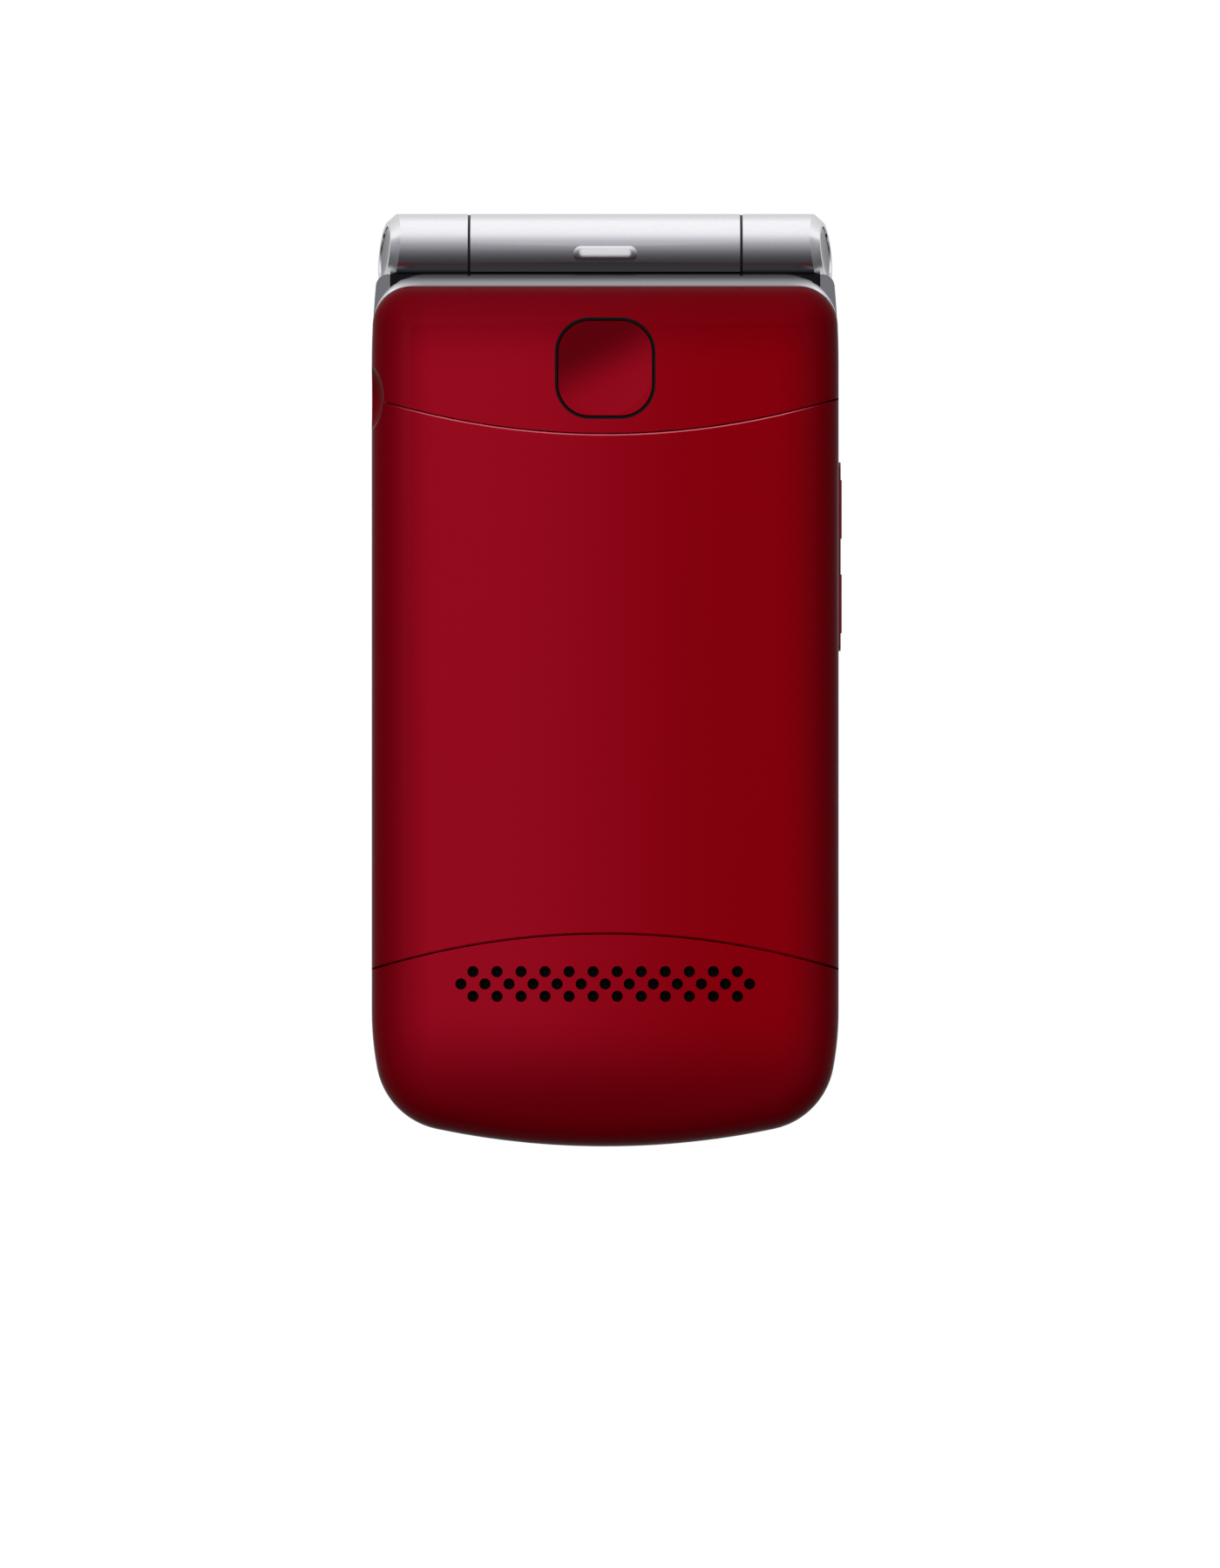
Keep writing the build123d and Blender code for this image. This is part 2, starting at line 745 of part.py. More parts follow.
key_shapes = {}
for row, names in enumerate(digit_rows):
    for column, name in enumerate(names):
        key_x = (1 - column) * digit_pitch_x
        key_y = digit_top_y - row * digit_pitch_y
        key_shapes[name] = (key_x, key_y, digit_width, digit_length)
key_shapes["key_soft_left"] = (soft_x, soft_y, soft_width, soft_length)
key_shapes["key_soft_right"] = (-soft_x, soft_y, soft_width, soft_length)
key_shapes["key_call"] = (soft_x, call_y, soft_width, call_length)
key_shapes["key_end"] = (-soft_x, call_y, soft_width, call_length)

with BuildPart() as keypad_plate:
    with BuildSketch(Plane.XY.offset(base_low_z)):
        add(plan_outline(frame_wall + keypad_plate_margin, rear_end_y, rear_end_corner_radius))
        for key_x, key_y, width, length in key_shapes.values():
            with Locations((key_x, key_y)):
                RectangleRounded(
                    width + 2 * key_gap,
                    length + 2 * key_gap,
                    key_corner_radius + key_gap,
                    mode=Mode.SUBTRACT,
                )
        with Locations((0, ring_y)):
            RectangleRounded(
                ring_width + 2 * key_gap,
                ring_length + 2 * key_gap,
                ring_corner_radius + key_gap,
                mode=Mode.SUBTRACT,
            )
        with Locations((microphone_x, microphone_y)):
            Circle(microphone_hole_radius, mode=Mode.SUBTRACT)
    extrude(amount=keypad_plate_thickness)
write_part(keypad_plate.part, "keypad_plate")

for name, (key_x, key_y, width, length) in key_shapes.items():
    with BuildPart() as key:
        with BuildSketch(Plane.XY.offset(key_low_z)):
            with Locations((key_x, key_y)):
                RectangleRounded(width, length, key_corner_radius)
        extrude(amount=key_thickness)
        fillet(key.faces().sort_by(Axis.Z)[0].edges(), key_edge_rounding)
    write_part(key.part, name)

with BuildPart() as navigation_ring:
    with BuildSketch(Plane.XY.offset(key_low_z)):
        with Locations((0, ring_y)):
            RectangleRounded(ring_width, ring_length, ring_corner_radius)
            Circle(centre_key_radius + key_gap, mode=Mode.SUBTRACT)
    extrude(amount=key_thickness)
    fillet(navigation_ring.faces().sort_by(Axis.Z)[0].edges(), key_edge_rounding)
write_part(navigation_ring.part, "navigation_ring")

with BuildPart() as centre_key:
    with BuildSketch(Plane.XY.offset(key_low_z)):
        with Locations((0, ring_y)):
            Circle(centre_key_radius)
    extrude(amount=key_thickness)
    fillet(centre_key.faces().sort_by(Axis.Z)[0].edges(), key_edge_rounding)
write_part(centre_key.part, "centre_key")

# Rubber key mat, dome sheet and circuit board behind the keys
mat_width = 2 * (screw_boss_x - screw_boss_radius - key_rest_gap - digit_column_gap)
mat_high_y = soft_y + soft_length / 2
mat_low_y = digit_foot_y
with BuildPart() as keypad_mat:
    with BuildSketch(Plane.XY.offset(mat_low_z)):
        with Locations((0, (mat_high_y + mat_low_y) / 2)):
            RectangleRounded(mat_width, mat_high_y - mat_low_y, key_corner_radius)
    extrude(amount=mat_thickness)
write_part(keypad_mat.part, "keypad_mat")

dome_places = [(key_x, key_y) for key_x, key_y, width, length in key_shapes.values()]
dome_places.append((0, ring_y))
ring_reach = (ring_width / 2 + centre_key_radius) / 2
dome_places += [(ring_reach, ring_y), (-ring_reach, ring_y)]
dome_places += [(0, ring_y + ring_reach), (0, ring_y - ring_reach)]
with BuildPart() as dome_sheet:
    with BuildSketch(Plane.XY.offset(sheet_low_z)):
        with Locations((0, (mat_high_y + mat_low_y) / 2)):
            RectangleRounded(mat_width, mat_high_y - mat_low_y, key_corner_radius)
    extrude(amount=dome_sheet_thickness)
    with BuildSketch(Plane.XY.offset(sheet_low_z)):
        with Locations(*dome_places):
            Circle(dome_radius)
    extrude(amount=-dome_height, taper=dome_slope)
write_part(dome_sheet.part, "dome_sheet")

board_width = body_width - 2 * board_side_margin
can_pitch = (bay_half_length - can_gap) / can_count
can_length = can_pitch - can_gap
can_places = [(0, bay_y + can_gap / 2 + (step + 1 / 2) * can_pitch) for step in range(can_count)]
with BuildPart() as main_circuit_board:
    board_high_y = hinge_y - board_head_setback
    board_low_y = bottom_y + board_foot_setback
    board_length = board_high_y - board_low_y
    with BuildSketch(Plane.XY.offset(board_low_z)):
        with Locations((0, (board_high_y + board_low_y) / 2)):
            RectangleRounded(board_width, board_length, board_corner_radius)
        add(plan_outline(frame_wall * 2, rear_end_y, rear_end_corner_radius), mode=Mode.INTERSECT)
        with Locations(*screw_places):
            Circle(screw_boss_radius + key_gap, mode=Mode.SUBTRACT)
        with Locations((0, port_end_y)):
            Rectangle(port_width, port_length * 2, mode=Mode.SUBTRACT)
    extrude(amount=board_thickness)
    with BuildSketch(Plane.XY.offset(board_high_z)):
        with Locations(*can_places):
            Rectangle(can_width, can_length)
    extrude(amount=can_height)
write_part(main_circuit_board.part, "main_circuit_board")

# Parts soldered to the main board
with BuildPart() as sim_card_holder:
    with BuildSketch(Plane.XY.offset(board_high_z)):
        with Locations((0, bay_y - bay_half_length / 2)):
            Rectangle(sim_width, sim_length)
            Rectangle(sim_width - 2 * sim_wall, sim_length - 2 * sim_wall, mode=Mode.SUBTRACT)
    extrude(amount=bay_high_z - board_high_z)
    with BuildSketch(Plane.XY.offset(board_high_z)):
        with Locations((0, bay_y - bay_half_length / 2)):
            Rectangle(sim_width, sim_length)
    extrude(amount=sim_wall)
write_part(sim_card_holder.part, "sim_card_holder")

with BuildPart() as battery_connector:
    with BuildSketch(Plane.XY.offset(board_high_z)):
        with Locations((0, bay_y + bay_half_length + battery_slack / 2)):
            Rectangle(connector_width, connector_length, align=(Align.CENTER, Align.MIN))
    extrude(amount=bay_high_z + battery_thickness * connector_height_share - board_high_z)
    with BuildSketch(Plane.XZ.offset(-bay_y - bay_half_length + battery_slack / 2)):
        for step in (-1, 0, 1):
            with Locations((step * contact_pitch, bay_high_z + battery_thickness / 2)):
                Rectangle(contact_width, contact_width)
    extrude(amount=-battery_slack)
write_part(battery_connector.part, "battery_connector")

with BuildPart() as vibration_motor:
    with BuildSketch(Plane.XY.offset(board_high_z)):
        with Locations((-motor_x, motor_y)):
            Circle(motor_radius)
    extrude(amount=motor_thickness)
    fillet(vibration_motor.faces().sort_by(Axis.Z)[-1].edges(), sim_wall / 2)
write_part(vibration_motor.part, "vibration_motor")

with BuildPart() as microphone:
    with BuildSketch(Plane.XY.offset(board_low_z - microphone_thickness)):
        with Locations((microphone_x, microphone_y)):
            Circle(microphone_radius)
    extrude(amount=microphone_thickness)
write_part(microphone.part, "microphone")

with BuildPart() as charging_port:
    with BuildSketch(Plane.XZ.offset(-port_end_y)):
        with Locations((0, port_z)):
            Rectangle(port_width, port_height)
            Rectangle(port_width - 2 * port_wall, port_height - 2 * port_wall, mode=Mode.SUBTRACT)
    extrude(amount=-port_length)
    with BuildSketch(Plane.XZ.offset(-port_end_y - port_length)):
        with Locations((0, port_z)):
            Rectangle(port_width, port_height)
    extrude(amount=port_tongue)
    with BuildSketch(Plane.XZ.offset(-port_end_y - port_wall)):
        with Locations((0, port_z)):
            Rectangle(port_width * port_tongue_share, port_tongue)
    extrude(amount=-(port_length - port_wall))
write_part(charging_port.part, "charging_port")

# Antenna carrier over the top of the board, with the button's switch on it
antenna_high_z = back_z - button_recess - button_height - button_travel - button_stop_gap
antenna_high_z = antenna_high_z - switch_stem_height - switch_height
antenna_width = body_width - 2 * antenna_side_margin
with BuildPart() as antenna_carrier:
    with BuildSketch(Plane.XY.offset(board_high_z)):
        with Locations((0, button_y)):
            RectangleRounded(antenna_width, antenna_length, button_seal_wall + antenna_wall)
    extrude(amount=antenna_high_z - board_high_z)
    with BuildSketch(Plane.XY.offset(board_high_z)):
        with Locations((0, button_y)):
            Rectangle(antenna_width - 2 * antenna_wall, antenna_length - 2 * antenna_wall)
    extrude(amount=antenna_high_z - board_high_z - antenna_wall, mode=Mode.SUBTRACT)
write_part(antenna_carrier.part, "antenna_carrier")

side_switch_x = board_width / 2
with BuildPart() as tact_switches:
    with BuildSketch(Plane.XY.offset(antenna_high_z)):
        with Locations((0, button_y)):
            RectangleRounded(switch_size, switch_size, sim_wall)
    extrude(amount=switch_height)
    with BuildSketch(Plane.XY.offset(antenna_high_z + switch_height)):
        with Locations((0, button_y)):
            Circle(switch_stem_radius)
    extrude(amount=switch_stem_height)
    for end in (-1, 1):
        switch_y = rocker_y + end * side_switch_pitch / 2
        with BuildSketch(Plane.XY.offset(board_high_z)):
            with Locations((side_switch_x, switch_y)):
                Rectangle(switch_size / 2, switch_size, align=(Align.MAX, Align.CENTER))
        extrude(amount=can_height)
        with BuildSketch(Plane.YZ.offset(side_switch_x)):
            with Locations((switch_y, board_high_z + can_height / 2)):
                Rectangle(switch_stem_radius, can_height / 2)
        extrude(amount=switch_stem_height / 2)
write_part(tact_switches.part, "tact_switches")

# Loudspeaker behind the grille, with its dust mesh
mesh_high_z = roof_low_z
with BuildPart() as speaker_mesh:
    mesh_width = (grille_columns - 1) * grille_pitch + 2 * (grille_hole_radius + mesh_margin)
    mesh_length = 2 * (grille_row_pitch + grille_hole_radius + mesh_margin)
    with BuildSketch(Plane.XY.offset(mesh_high_z)):
        with Locations((0, grille_y)):
            RectangleRounded(mesh_width, mesh_length, mesh_margin)
    extrude(amount=-mesh_thickness)
write_part(speaker_mesh.part, "speaker_mesh")

with BuildPart() as loudspeaker:
    with BuildSketch(Plane.XY.offset(mesh_high_z - mesh_thickness)):
        with Locations((0, grille_y - (speaker_width - mesh_length) / 2)):
            RectangleRounded(speaker_length, speaker_width, mesh_margin)
    extrude(amount=-speaker_thickness)
write_part(loudspeaker.part, "loudspeaker")

# Screws that hold the red housing to the silver frame
with BuildPart() as base_screws:
    with BuildSketch(Plane.XY.offset(bay_high_z)):
        with Locations(*screw_places):
            Circle(screw_radius)
    extrude(amount=-screw_length)
    with BuildSketch(Plane.XY.offset(bay_high_z)):
        with Locations(*screw_places):
            Circle(screw_head_radius - running_clearance)
    extrude(amount=screw_head_height)
    with BuildSketch(Plane.XY.offset(bay_high_z + screw_head_height)):
        with Locations(*screw_places):
            Rectangle(screw_cross, screw_cross_width)
            Rectangle(screw_cross_width, screw_cross)
    extrude(amount=-screw_head_height / 2, mode=Mode.SUBTRACT)
write_part(base_screws.part, "base_screws")


# The lid: red outer cover
def lid_block(low, high, inset):
    """A block with the lid's outline between two heights."""
    with BuildPart() as block:
        with BuildSketch(Plane.XY.offset(low)):
            add(plan_outline(lid_inset + inset, frame_end_y - inset, frame_wall + lid_inset))
        extrude(amount=high - low)
    return block.part


with BuildPart() as knuckle_sweep:
    with BuildSketch(barrel_plane(0)):
        Circle(swing_radius)
    extrude(amount=half_width, both=True)

with BuildPart() as lid_outer_cover:
    add(lid_block(0, lid_split_height, 0))
    fillet(lid_outer_cover.faces().sort_by(Axis.Z)[0].edges(), lid_edge_radius)
    with BuildSketch(Plane.XY.offset(lid_wall)):
        add(plan_outline(lid_inset + lid_wall, rear_end_y, rear_end_corner_radius))
    extrude(amount=overrun, mode=Mode.SUBTRACT)
    with BuildSketch(Plane.XY.offset(lid_wall)):
        with Locations(*lid_screw_places):
            Circle(lid_post_radius)
    extrude(amount=lid_roof_z - lid_wall)
    add(knuckle_sweep.part, mode=Mode.SUBTRACT)
    with BuildSketch(Plane.XY.offset(lid_roof_z)):
        with Locations(*lid_screw_places):
            Circle(screw_radius)
    extrude(amount=-screw_length, mode=Mode.SUBTRACT)
    with BuildSketch(Plane.XY):
        with Locations((0, outer_window_y)):
            RectangleRounded(
                outer_window_width + 2 * window_gap,
                outer_window_length + 2 * window_gap,
                outer_window_radius,
            )
    extrude(amount=outer_window_recess + outer_window_thickness, mode=Mode.SUBTRACT)
    with BuildSketch(Plane.XY):
        with Locations((0, outer_window_y)):
            Rectangle(
                outer_window_width - 2 * outer_window_ledge, outer_window_length - 2 * outer_window_ledge
            )
    extrude(amount=lid_split_height, mode=Mode.SUBTRACT)
write_part(lid_outer_cover.part, "lid_outer_cover")

with BuildPart() as outer_display_window:
    with BuildSketch(Plane.XY.offset(outer_window_recess)):
        with Locations((0, outer_window_y)):
            RectangleRounded(outer_window_width, outer_window_length, outer_window_radius)
    extrude(amount=outer_window_thickness)
write_part(outer_display_window.part, "outer_display_window")

with BuildPart() as outer_display_module:
    with BuildSketch(Plane.XY.offset(outer_window_recess + outer_window_thickness)):
        with Locations((0, outer_window_y)):
            Rectangle(
                outer_window_width - 2 * outer_module_margin, outer_window_length - 2 * outer_module_margin
            )
    extrude(amount=outer_module_thickness)
write_part(outer_display_module.part, "outer_display_module")

# Inner cover of the lid, round the main display
with BuildPart() as lid_inner_cover:
    add(lid_block(lid_split_height, lid_thickness, 0))
    fillet(lid_inner_cover.faces().sort_by(Axis.Z)[-1].edges(), lid_inner_rounding)
    with BuildSketch(Plane.XY.offset(lid_split_height)):
        add(plan_outline(lid_inset + lid_wall, rear_end_y, rear_end_corner_radius))
    extrude(amount=lid_roof_z - lid_split_height, mode=Mode.SUBTRACT)
    add(knuckle_sweep.part, mode=Mode.SUBTRACT)
    with BuildSketch(Plane.XY.offset(window_low_z)):
        with Locations((0, main_window_y)):
            RectangleRounded(
                main_window_width + 2 * window_gap, main_window_length + 2 * window_gap, main_window_radius
            )
    extrude(amount=overrun, mode=Mode.SUBTRACT)
    with BuildSketch(Plane.XY.offset(lid_split_height)):
        with Locations((0, main_window_y)):
            Rectangle(main_window_width - 2 * main_window_ledge, main_window_length - 2 * main_window_ledge)
        with Locations((0, earpiece_y)):
            SlotOverall(earpiece_slot_width, earpiece_slot_length)
        with Locations(*lid_screw_places):
            Circle(screw_radius)
    extrude(amount=overrun, mode=Mode.SUBTRACT)
    with BuildSketch(Plane.XY.offset(lid_thickness - screw_head_height)):
        with Locations(*lid_screw_places):
            Circle(screw_head_radius)
    extrude(amount=overrun, mode=Mode.SUBTRACT)
    with BuildSketch(Plane.XY.offset(lid_thickness + bumper_proud - bumper_thickness)):
        with Locations(*bumper_places):
            Circle(bumper_radius)
    extrude(amount=overrun, mode=Mode.SUBTRACT)
    with BuildSketch(Plane.XY.offset(web_low_z)):
        with Locations((0, rear_end_y - web_reach)):
            Rectangle(2 * barrel_half_length, overrun, align=(Align.CENTER, Align.MIN))
    extrude(amount=overrun, mode=Mode.SUBTRACT)
write_part(lid_inner_cover.part, "lid_inner_cover")

with BuildPart() as main_display_window:
    with BuildSketch(Plane.XY.offset(window_low_z)):
        with Locations((0, main_window_y)):
            RectangleRounded(main_window_width, main_window_length, main_window_radius)
    extrude(amount=main_window_thickness)
write_part(main_display_window.part, "main_display_window")

with BuildPart() as main_display_panel:
    with BuildSketch(Plane.XY.offset(panel_low_z)):
        with Locations((0, main_window_y)):
            Rectangle(panel_width, panel_length)
    extrude(amount=panel_thickness)
write_part(main_display_panel.part, "main_display_panel")

with BuildPart() as lid_circuit_board:
    with BuildSketch(Plane.XY.offset(lid_board_low_z)):
        with Locations((0, (lid_board_high_y + lid_board_low_y) / 2)):
            RectangleRounded(lid_board_width, lid_board_high_y - lid_board_low_y, board_corner_radius)
    extrude(amount=lid_board_thickness)
    with BuildSketch(Plane.XY.offset(lid_board_low_z)):
        with Locations((0, lid_can_y)):
            Rectangle(lid_can_width, lid_can_length)
    extrude(amount=-lid_can_height)
write_part(lid_circuit_board.part, "lid_circuit_board")

with BuildPart() as earpiece_mesh:
    with BuildSketch(Plane.XY.offset(lid_roof_z)):
        with Locations((0, earpiece_y)):
            RectangleRounded(earpiece_width, earpiece_length, mesh_margin)
    extrude(amount=-earpiece_mesh_thickness)
write_part(earpiece_mesh.part, "earpiece_mesh")

with BuildPart() as earpiece_speaker:
    with BuildSketch(Plane.XY.offset(lid_roof_z - earpiece_mesh_thickness)):
        with Locations((0, earpiece_y)):
            RectangleRounded(earpiece_width, earpiece_length, mesh_margin)
    extrude(amount=-earpiece_thickness)
write_part(earpiece_speaker.part, "earpiece_speaker")

with BuildPart() as lid_magnet:
    with BuildSketch(Plane.XY.offset(lid_roof_z)):
        with Locations(magnet_place):
            Circle(magnet_radius)
    extrude(amount=-magnet_thickness)
write_part(lid_magnet.part, "lid_magnet")

with BuildPart() as lid_bumpers:
    with BuildSketch(Plane.XY.offset(lid_thickness + bumper_proud - bumper_thickness)):
        with Locations(*bumper_places):
            Circle(bumper_radius)
    extrude(amount=bumper_thickness)
    fillet(lid_bumpers.faces().group_by(Axis.Z)[-1].edges(), bumper_proud / 2)
write_part(lid_bumpers.part, "lid_bumpers")

with BuildPart() as lid_screws:
    head_low_z = lid_thickness - screw_head_height
    with BuildSketch(Plane.XY.offset(head_low_z)):
        with Locations(*lid_screw_places):
            Circle(screw_radius)
    extrude(amount=-(head_low_z - lid_roof_z + screw_length))
    with BuildSketch(Plane.XY.offset(head_low_z)):
        with Locations(*lid_screw_places):
            Circle(screw_head_radius - running_clearance)
    extrude(amount=screw_head_height - running_clearance)
    with BuildSketch(Plane.XY.offset(lid_thickness - running_clearance)):
        with Locations(*lid_screw_places):
            Rectangle(screw_cross, screw_cross_width)
            Rectangle(screw_cross_width, screw_cross)
    extrude(amount=-screw_head_height / 2, mode=Mode.SUBTRACT)
write_part(lid_screws.part, "lid_screws")

# Middle knuckle of the hinge, which belongs to the lid
with BuildPart() as hinge_barrel:
    with BuildSketch(barrel_plane(0)):
        Circle(barrel_radius)
    extrude(amount=barrel_half_length, both=True)
    with BuildSketch(Plane.XY.offset(web_low_z)):
        with Locations((0, rear_end_y - web_reach)):
            Rectangle(2 * barrel_half_length, rear_end_setback + web_reach, align=(Align.CENTER, Align.MIN))
    extrude(amount=lid_thickness - web_low_z)
    with BuildSketch(barrel_plane(0)):
        Circle(barrel_bore_radius)
    extrude(amount=barrel_half_length, both=True, mode=Mode.SUBTRACT)
    hole_width = lamp_width - 2 * (lamp_rim - lamp_gap)
    hole_length = lamp_length - 2 * (lamp_rim - lamp_gap)
    with BuildSketch(Plane.XY.offset(axis_z)):
        with Locations((0, hinge_y + lamp_y)):
            SlotOverall(hole_width, hole_length)
    extrude(amount=overrun, mode=Mode.SUBTRACT)
    with BuildSketch(Plane.XY.offset(axis_z + barrel_radius - lamp_bevel_depth)):
        with Locations((0, hinge_y + lamp_y)):
            SlotOverall(hole_width, hole_length)
    extrude(amount=lamp_bevel_depth, taper=-lamp_bevel_slope, mode=Mode.SUBTRACT)
write_part(hinge_barrel.part, "hinge_barrel")

led_low_z = axis_z + led_board_lift
led_high_z = led_low_z + led_board_thickness + led_height
with BuildPart() as torch_led:
    with BuildSketch(Plane.XY.offset(led_low_z)):
        with Locations((0, hinge_y)):
            Rectangle(led_board_length, led_board_width)
    extrude(amount=led_board_thickness)
    with BuildSketch(Plane.XY.offset(led_low_z + led_board_thickness)):
        with Locations((0, hinge_y + lamp_y)):
            Rectangle(led_length, led_width)
    extrude(amount=led_height)
write_part(torch_led.part, "torch_led")

with BuildPart() as torch_lens:
    lens_high_z = axis_z + barrel_radius - lamp_recess
    with BuildSketch(Plane.XY.offset(led_high_z)):
        with Locations((0, hinge_y + lamp_y)):
            SlotOverall(lamp_width - 2 * lamp_rim, lamp_length - 2 * lamp_rim)
    extrude(amount=lens_high_z - led_high_z)
    fillet(torch_lens.faces().sort_by(Axis.Z)[-1].edges(), lamp_rim / 2)
write_part(torch_lens.part, "torch_lens")

# Hinge cartridge with its cam head on one side, hollow bush for the ribbon on the other
with BuildPart() as hinge_cartridge:
    with BuildSketch(barrel_plane(barrel_half_length)):
        Circle(barrel_bore_radius)
    extrude(amount=-cartridge_length)
    with BuildSketch(barrel_plane(barrel_half_length)):
        Circle(cartridge_shaft_radius + running_clearance)
    extrude(amount=-(cam_shaft_length + running_clearance), mode=Mode.SUBTRACT)
write_part(hinge_cartridge.part, "hinge_cartridge")

with BuildPart() as hinge_cam_head:
    with BuildSketch(barrel_plane(knuckle_joint_x + knuckle_gap / 2)):
        Circle(barrel_bore_radius)
    extrude(amount=cam_head_length)
    with BuildSketch(barrel_plane(knuckle_joint_x + knuckle_gap / 2)):
        Circle(cartridge_shaft_radius)
    extrude(amount=-cam_shaft_length)
write_part(hinge_cam_head.part, "hinge_cam_head")

with BuildPart() as hinge_bush:
    with BuildSketch(barrel_plane(-knuckle_joint_x - knuckle_gap / 2)):
        Circle(barrel_bore_radius)
    extrude(amount=-bush_flange_length)
    with BuildSketch(barrel_plane(-knuckle_joint_x - knuckle_gap / 2)):
        Circle(barrel_bore_radius - running_clearance)
    extrude(amount=bush_journal_length)
    with BuildSketch(barrel_plane(0)):
        Circle(barrel_bore_radius - running_clearance - bush_wall)
    extrude(amount=-overrun, mode=Mode.SUBTRACT)
write_part(hinge_bush.part, "hinge_bush")

with BuildPart() as hinge_ribbon:
    with BuildSketch(barrel_plane(-knuckle_joint_x + knuckle_gap)):
        Circle(flex_radius)
        Circle(flex_radius - flex_wall, mode=Mode.SUBTRACT)
    extrude(amount=knuckle_joint_x - knuckle_gap - flex_inner_x)
write_part(hinge_ribbon.part, "hinge_ribbon")

# Dished discs in the slanted ends of the barrel
dish_reach = end_cap_radius - end_cap_rim
cap_dish_radius = (dish_reach**2 + end_cap_dish**2) / (2 * end_cap_dish)


def end_cap(side):
    """The disc at one end, hollowed by a large sphere."""
    with BuildPart() as cap:
        with BuildSketch(barrel_plane(side * knuckle_joint_x)):
            Circle(end_cap_radius)
        extrude(amount=side * (knuckle_length + barrel_radius))
        split(bisect_by=end_plane(side, end_cap_recess), keep=Keep.BOTTOM)
        split(bisect_by=end_plane(side, end_cap_recess + end_cap_thickness), keep=Keep.TOP)
        centre = end_plane(side, end_cap_recess).offset(cap_dish_radius - end_cap_dish).origin
        with Locations(Location(centre, (0, 0, quarter_turn))):
            Sphere(cap_dish_radius, mode=Mode.SUBTRACT)
    return cap.part


with BuildPart() as hinge_end_caps:
    for side in (-1, 1):
        add(end_cap(side))
write_part(hinge_end_caps.part, "hinge_end_caps")
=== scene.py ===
import json
import math

import bmesh
import bpy
from mathutils import Matrix, Vector


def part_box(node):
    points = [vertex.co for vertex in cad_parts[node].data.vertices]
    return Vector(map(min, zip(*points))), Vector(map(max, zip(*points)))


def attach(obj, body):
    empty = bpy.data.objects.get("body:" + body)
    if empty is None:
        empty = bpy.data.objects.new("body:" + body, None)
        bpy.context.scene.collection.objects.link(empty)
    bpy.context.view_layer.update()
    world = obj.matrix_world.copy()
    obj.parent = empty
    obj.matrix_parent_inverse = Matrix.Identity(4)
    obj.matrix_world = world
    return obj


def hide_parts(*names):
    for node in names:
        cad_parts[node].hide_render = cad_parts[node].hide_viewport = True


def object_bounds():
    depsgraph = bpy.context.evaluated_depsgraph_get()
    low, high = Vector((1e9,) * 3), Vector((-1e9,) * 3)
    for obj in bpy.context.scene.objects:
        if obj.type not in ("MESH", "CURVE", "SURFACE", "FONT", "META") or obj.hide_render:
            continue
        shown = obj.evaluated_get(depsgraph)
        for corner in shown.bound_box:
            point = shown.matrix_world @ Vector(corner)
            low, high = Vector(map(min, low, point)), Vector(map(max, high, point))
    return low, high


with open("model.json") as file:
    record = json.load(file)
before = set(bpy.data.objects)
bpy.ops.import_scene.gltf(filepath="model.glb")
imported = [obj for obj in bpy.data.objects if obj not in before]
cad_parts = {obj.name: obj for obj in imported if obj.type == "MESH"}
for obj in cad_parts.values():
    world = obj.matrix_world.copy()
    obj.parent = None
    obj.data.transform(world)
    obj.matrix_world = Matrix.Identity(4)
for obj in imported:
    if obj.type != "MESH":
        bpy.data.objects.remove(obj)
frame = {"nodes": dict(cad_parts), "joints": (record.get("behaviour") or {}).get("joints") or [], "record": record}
nodes = frame["nodes"]
cad_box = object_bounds()

# Lengths below are in metres, as the frame's are
MM = 0.001

# The photograph's frame, and how it sees the phone
IMAGE_WIDTH_PX = 1400
IMAGE_HEIGHT_PX = 1800
PHONE_CENTRE_PX = (694.5, 779.75)
PHONE_WIDTH_PX = 535.0
LENS_MM = 300.0
SENSOR_MM = 36.0
SILHOUETTE_HEIGHT = 13.0 * MM


def linear(hex_colour):
    """An sRGB hex colour as linear red, green, blue and alpha."""
    channels = [int(hex_colour[i : i + 2], 16) / 255 for i in (0, 2, 4)]
    return [c / 12.92 if c <= 0.04045 else ((c + 0.055) / 1.055) ** 2.4 for c in channels] + [1.0]


def add_node(tree, kind, settings=None, inputs=None):
    """Add a node. Each input is a value, a hex colour or the output that feeds it."""
    node = tree.nodes.new(kind)
    for name, value in (settings or {}).items():
        setattr(node, name, value)
    for name, value in (inputs or {}).items():
        if isinstance(value, bpy.types.NodeSocket):
            tree.links.new(value, node.inputs[name])
        else:
            node.inputs[name].default_value = linear(value) if isinstance(value, str) else value
    return node


# Camera: straight down on the back of the closed phone, hinge at the top of the picture
def make_camera():
    base_low, base_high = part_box("rear_housing")
    scale = (base_high.x - base_low.x) / PHONE_WIDTH_PX
    camera_data = bpy.data.cameras.new("camera")
    camera_data.sensor_fit = "VERTICAL"
    camera_data.sensor_height = SENSOR_MM
    camera_data.lens = LENS_MM
    camera_data.clip_end = 10.0
    camera = bpy.data.objects.new("camera", camera_data)
    bpy.context.scene.collection.objects.link(camera)
    view_height = IMAGE_HEIGHT_PX * scale
    distance = view_height * LENS_MM / SENSOR_MM
    middle_x = (base_low.x + base_high.x) / 2
    middle_y = (cad_box[0].y + cad_box[1].y) / 2
    x = middle_x + (IMAGE_WIDTH_PX / 2 - PHONE_CENTRE_PX[0]) * scale
    y = middle_y - (IMAGE_HEIGHT_PX / 2 - PHONE_CENTRE_PX[1]) * scale
    camera.location = (x, y, SILHOUETTE_HEIGHT + distance)
    bpy.context.scene.camera = camera


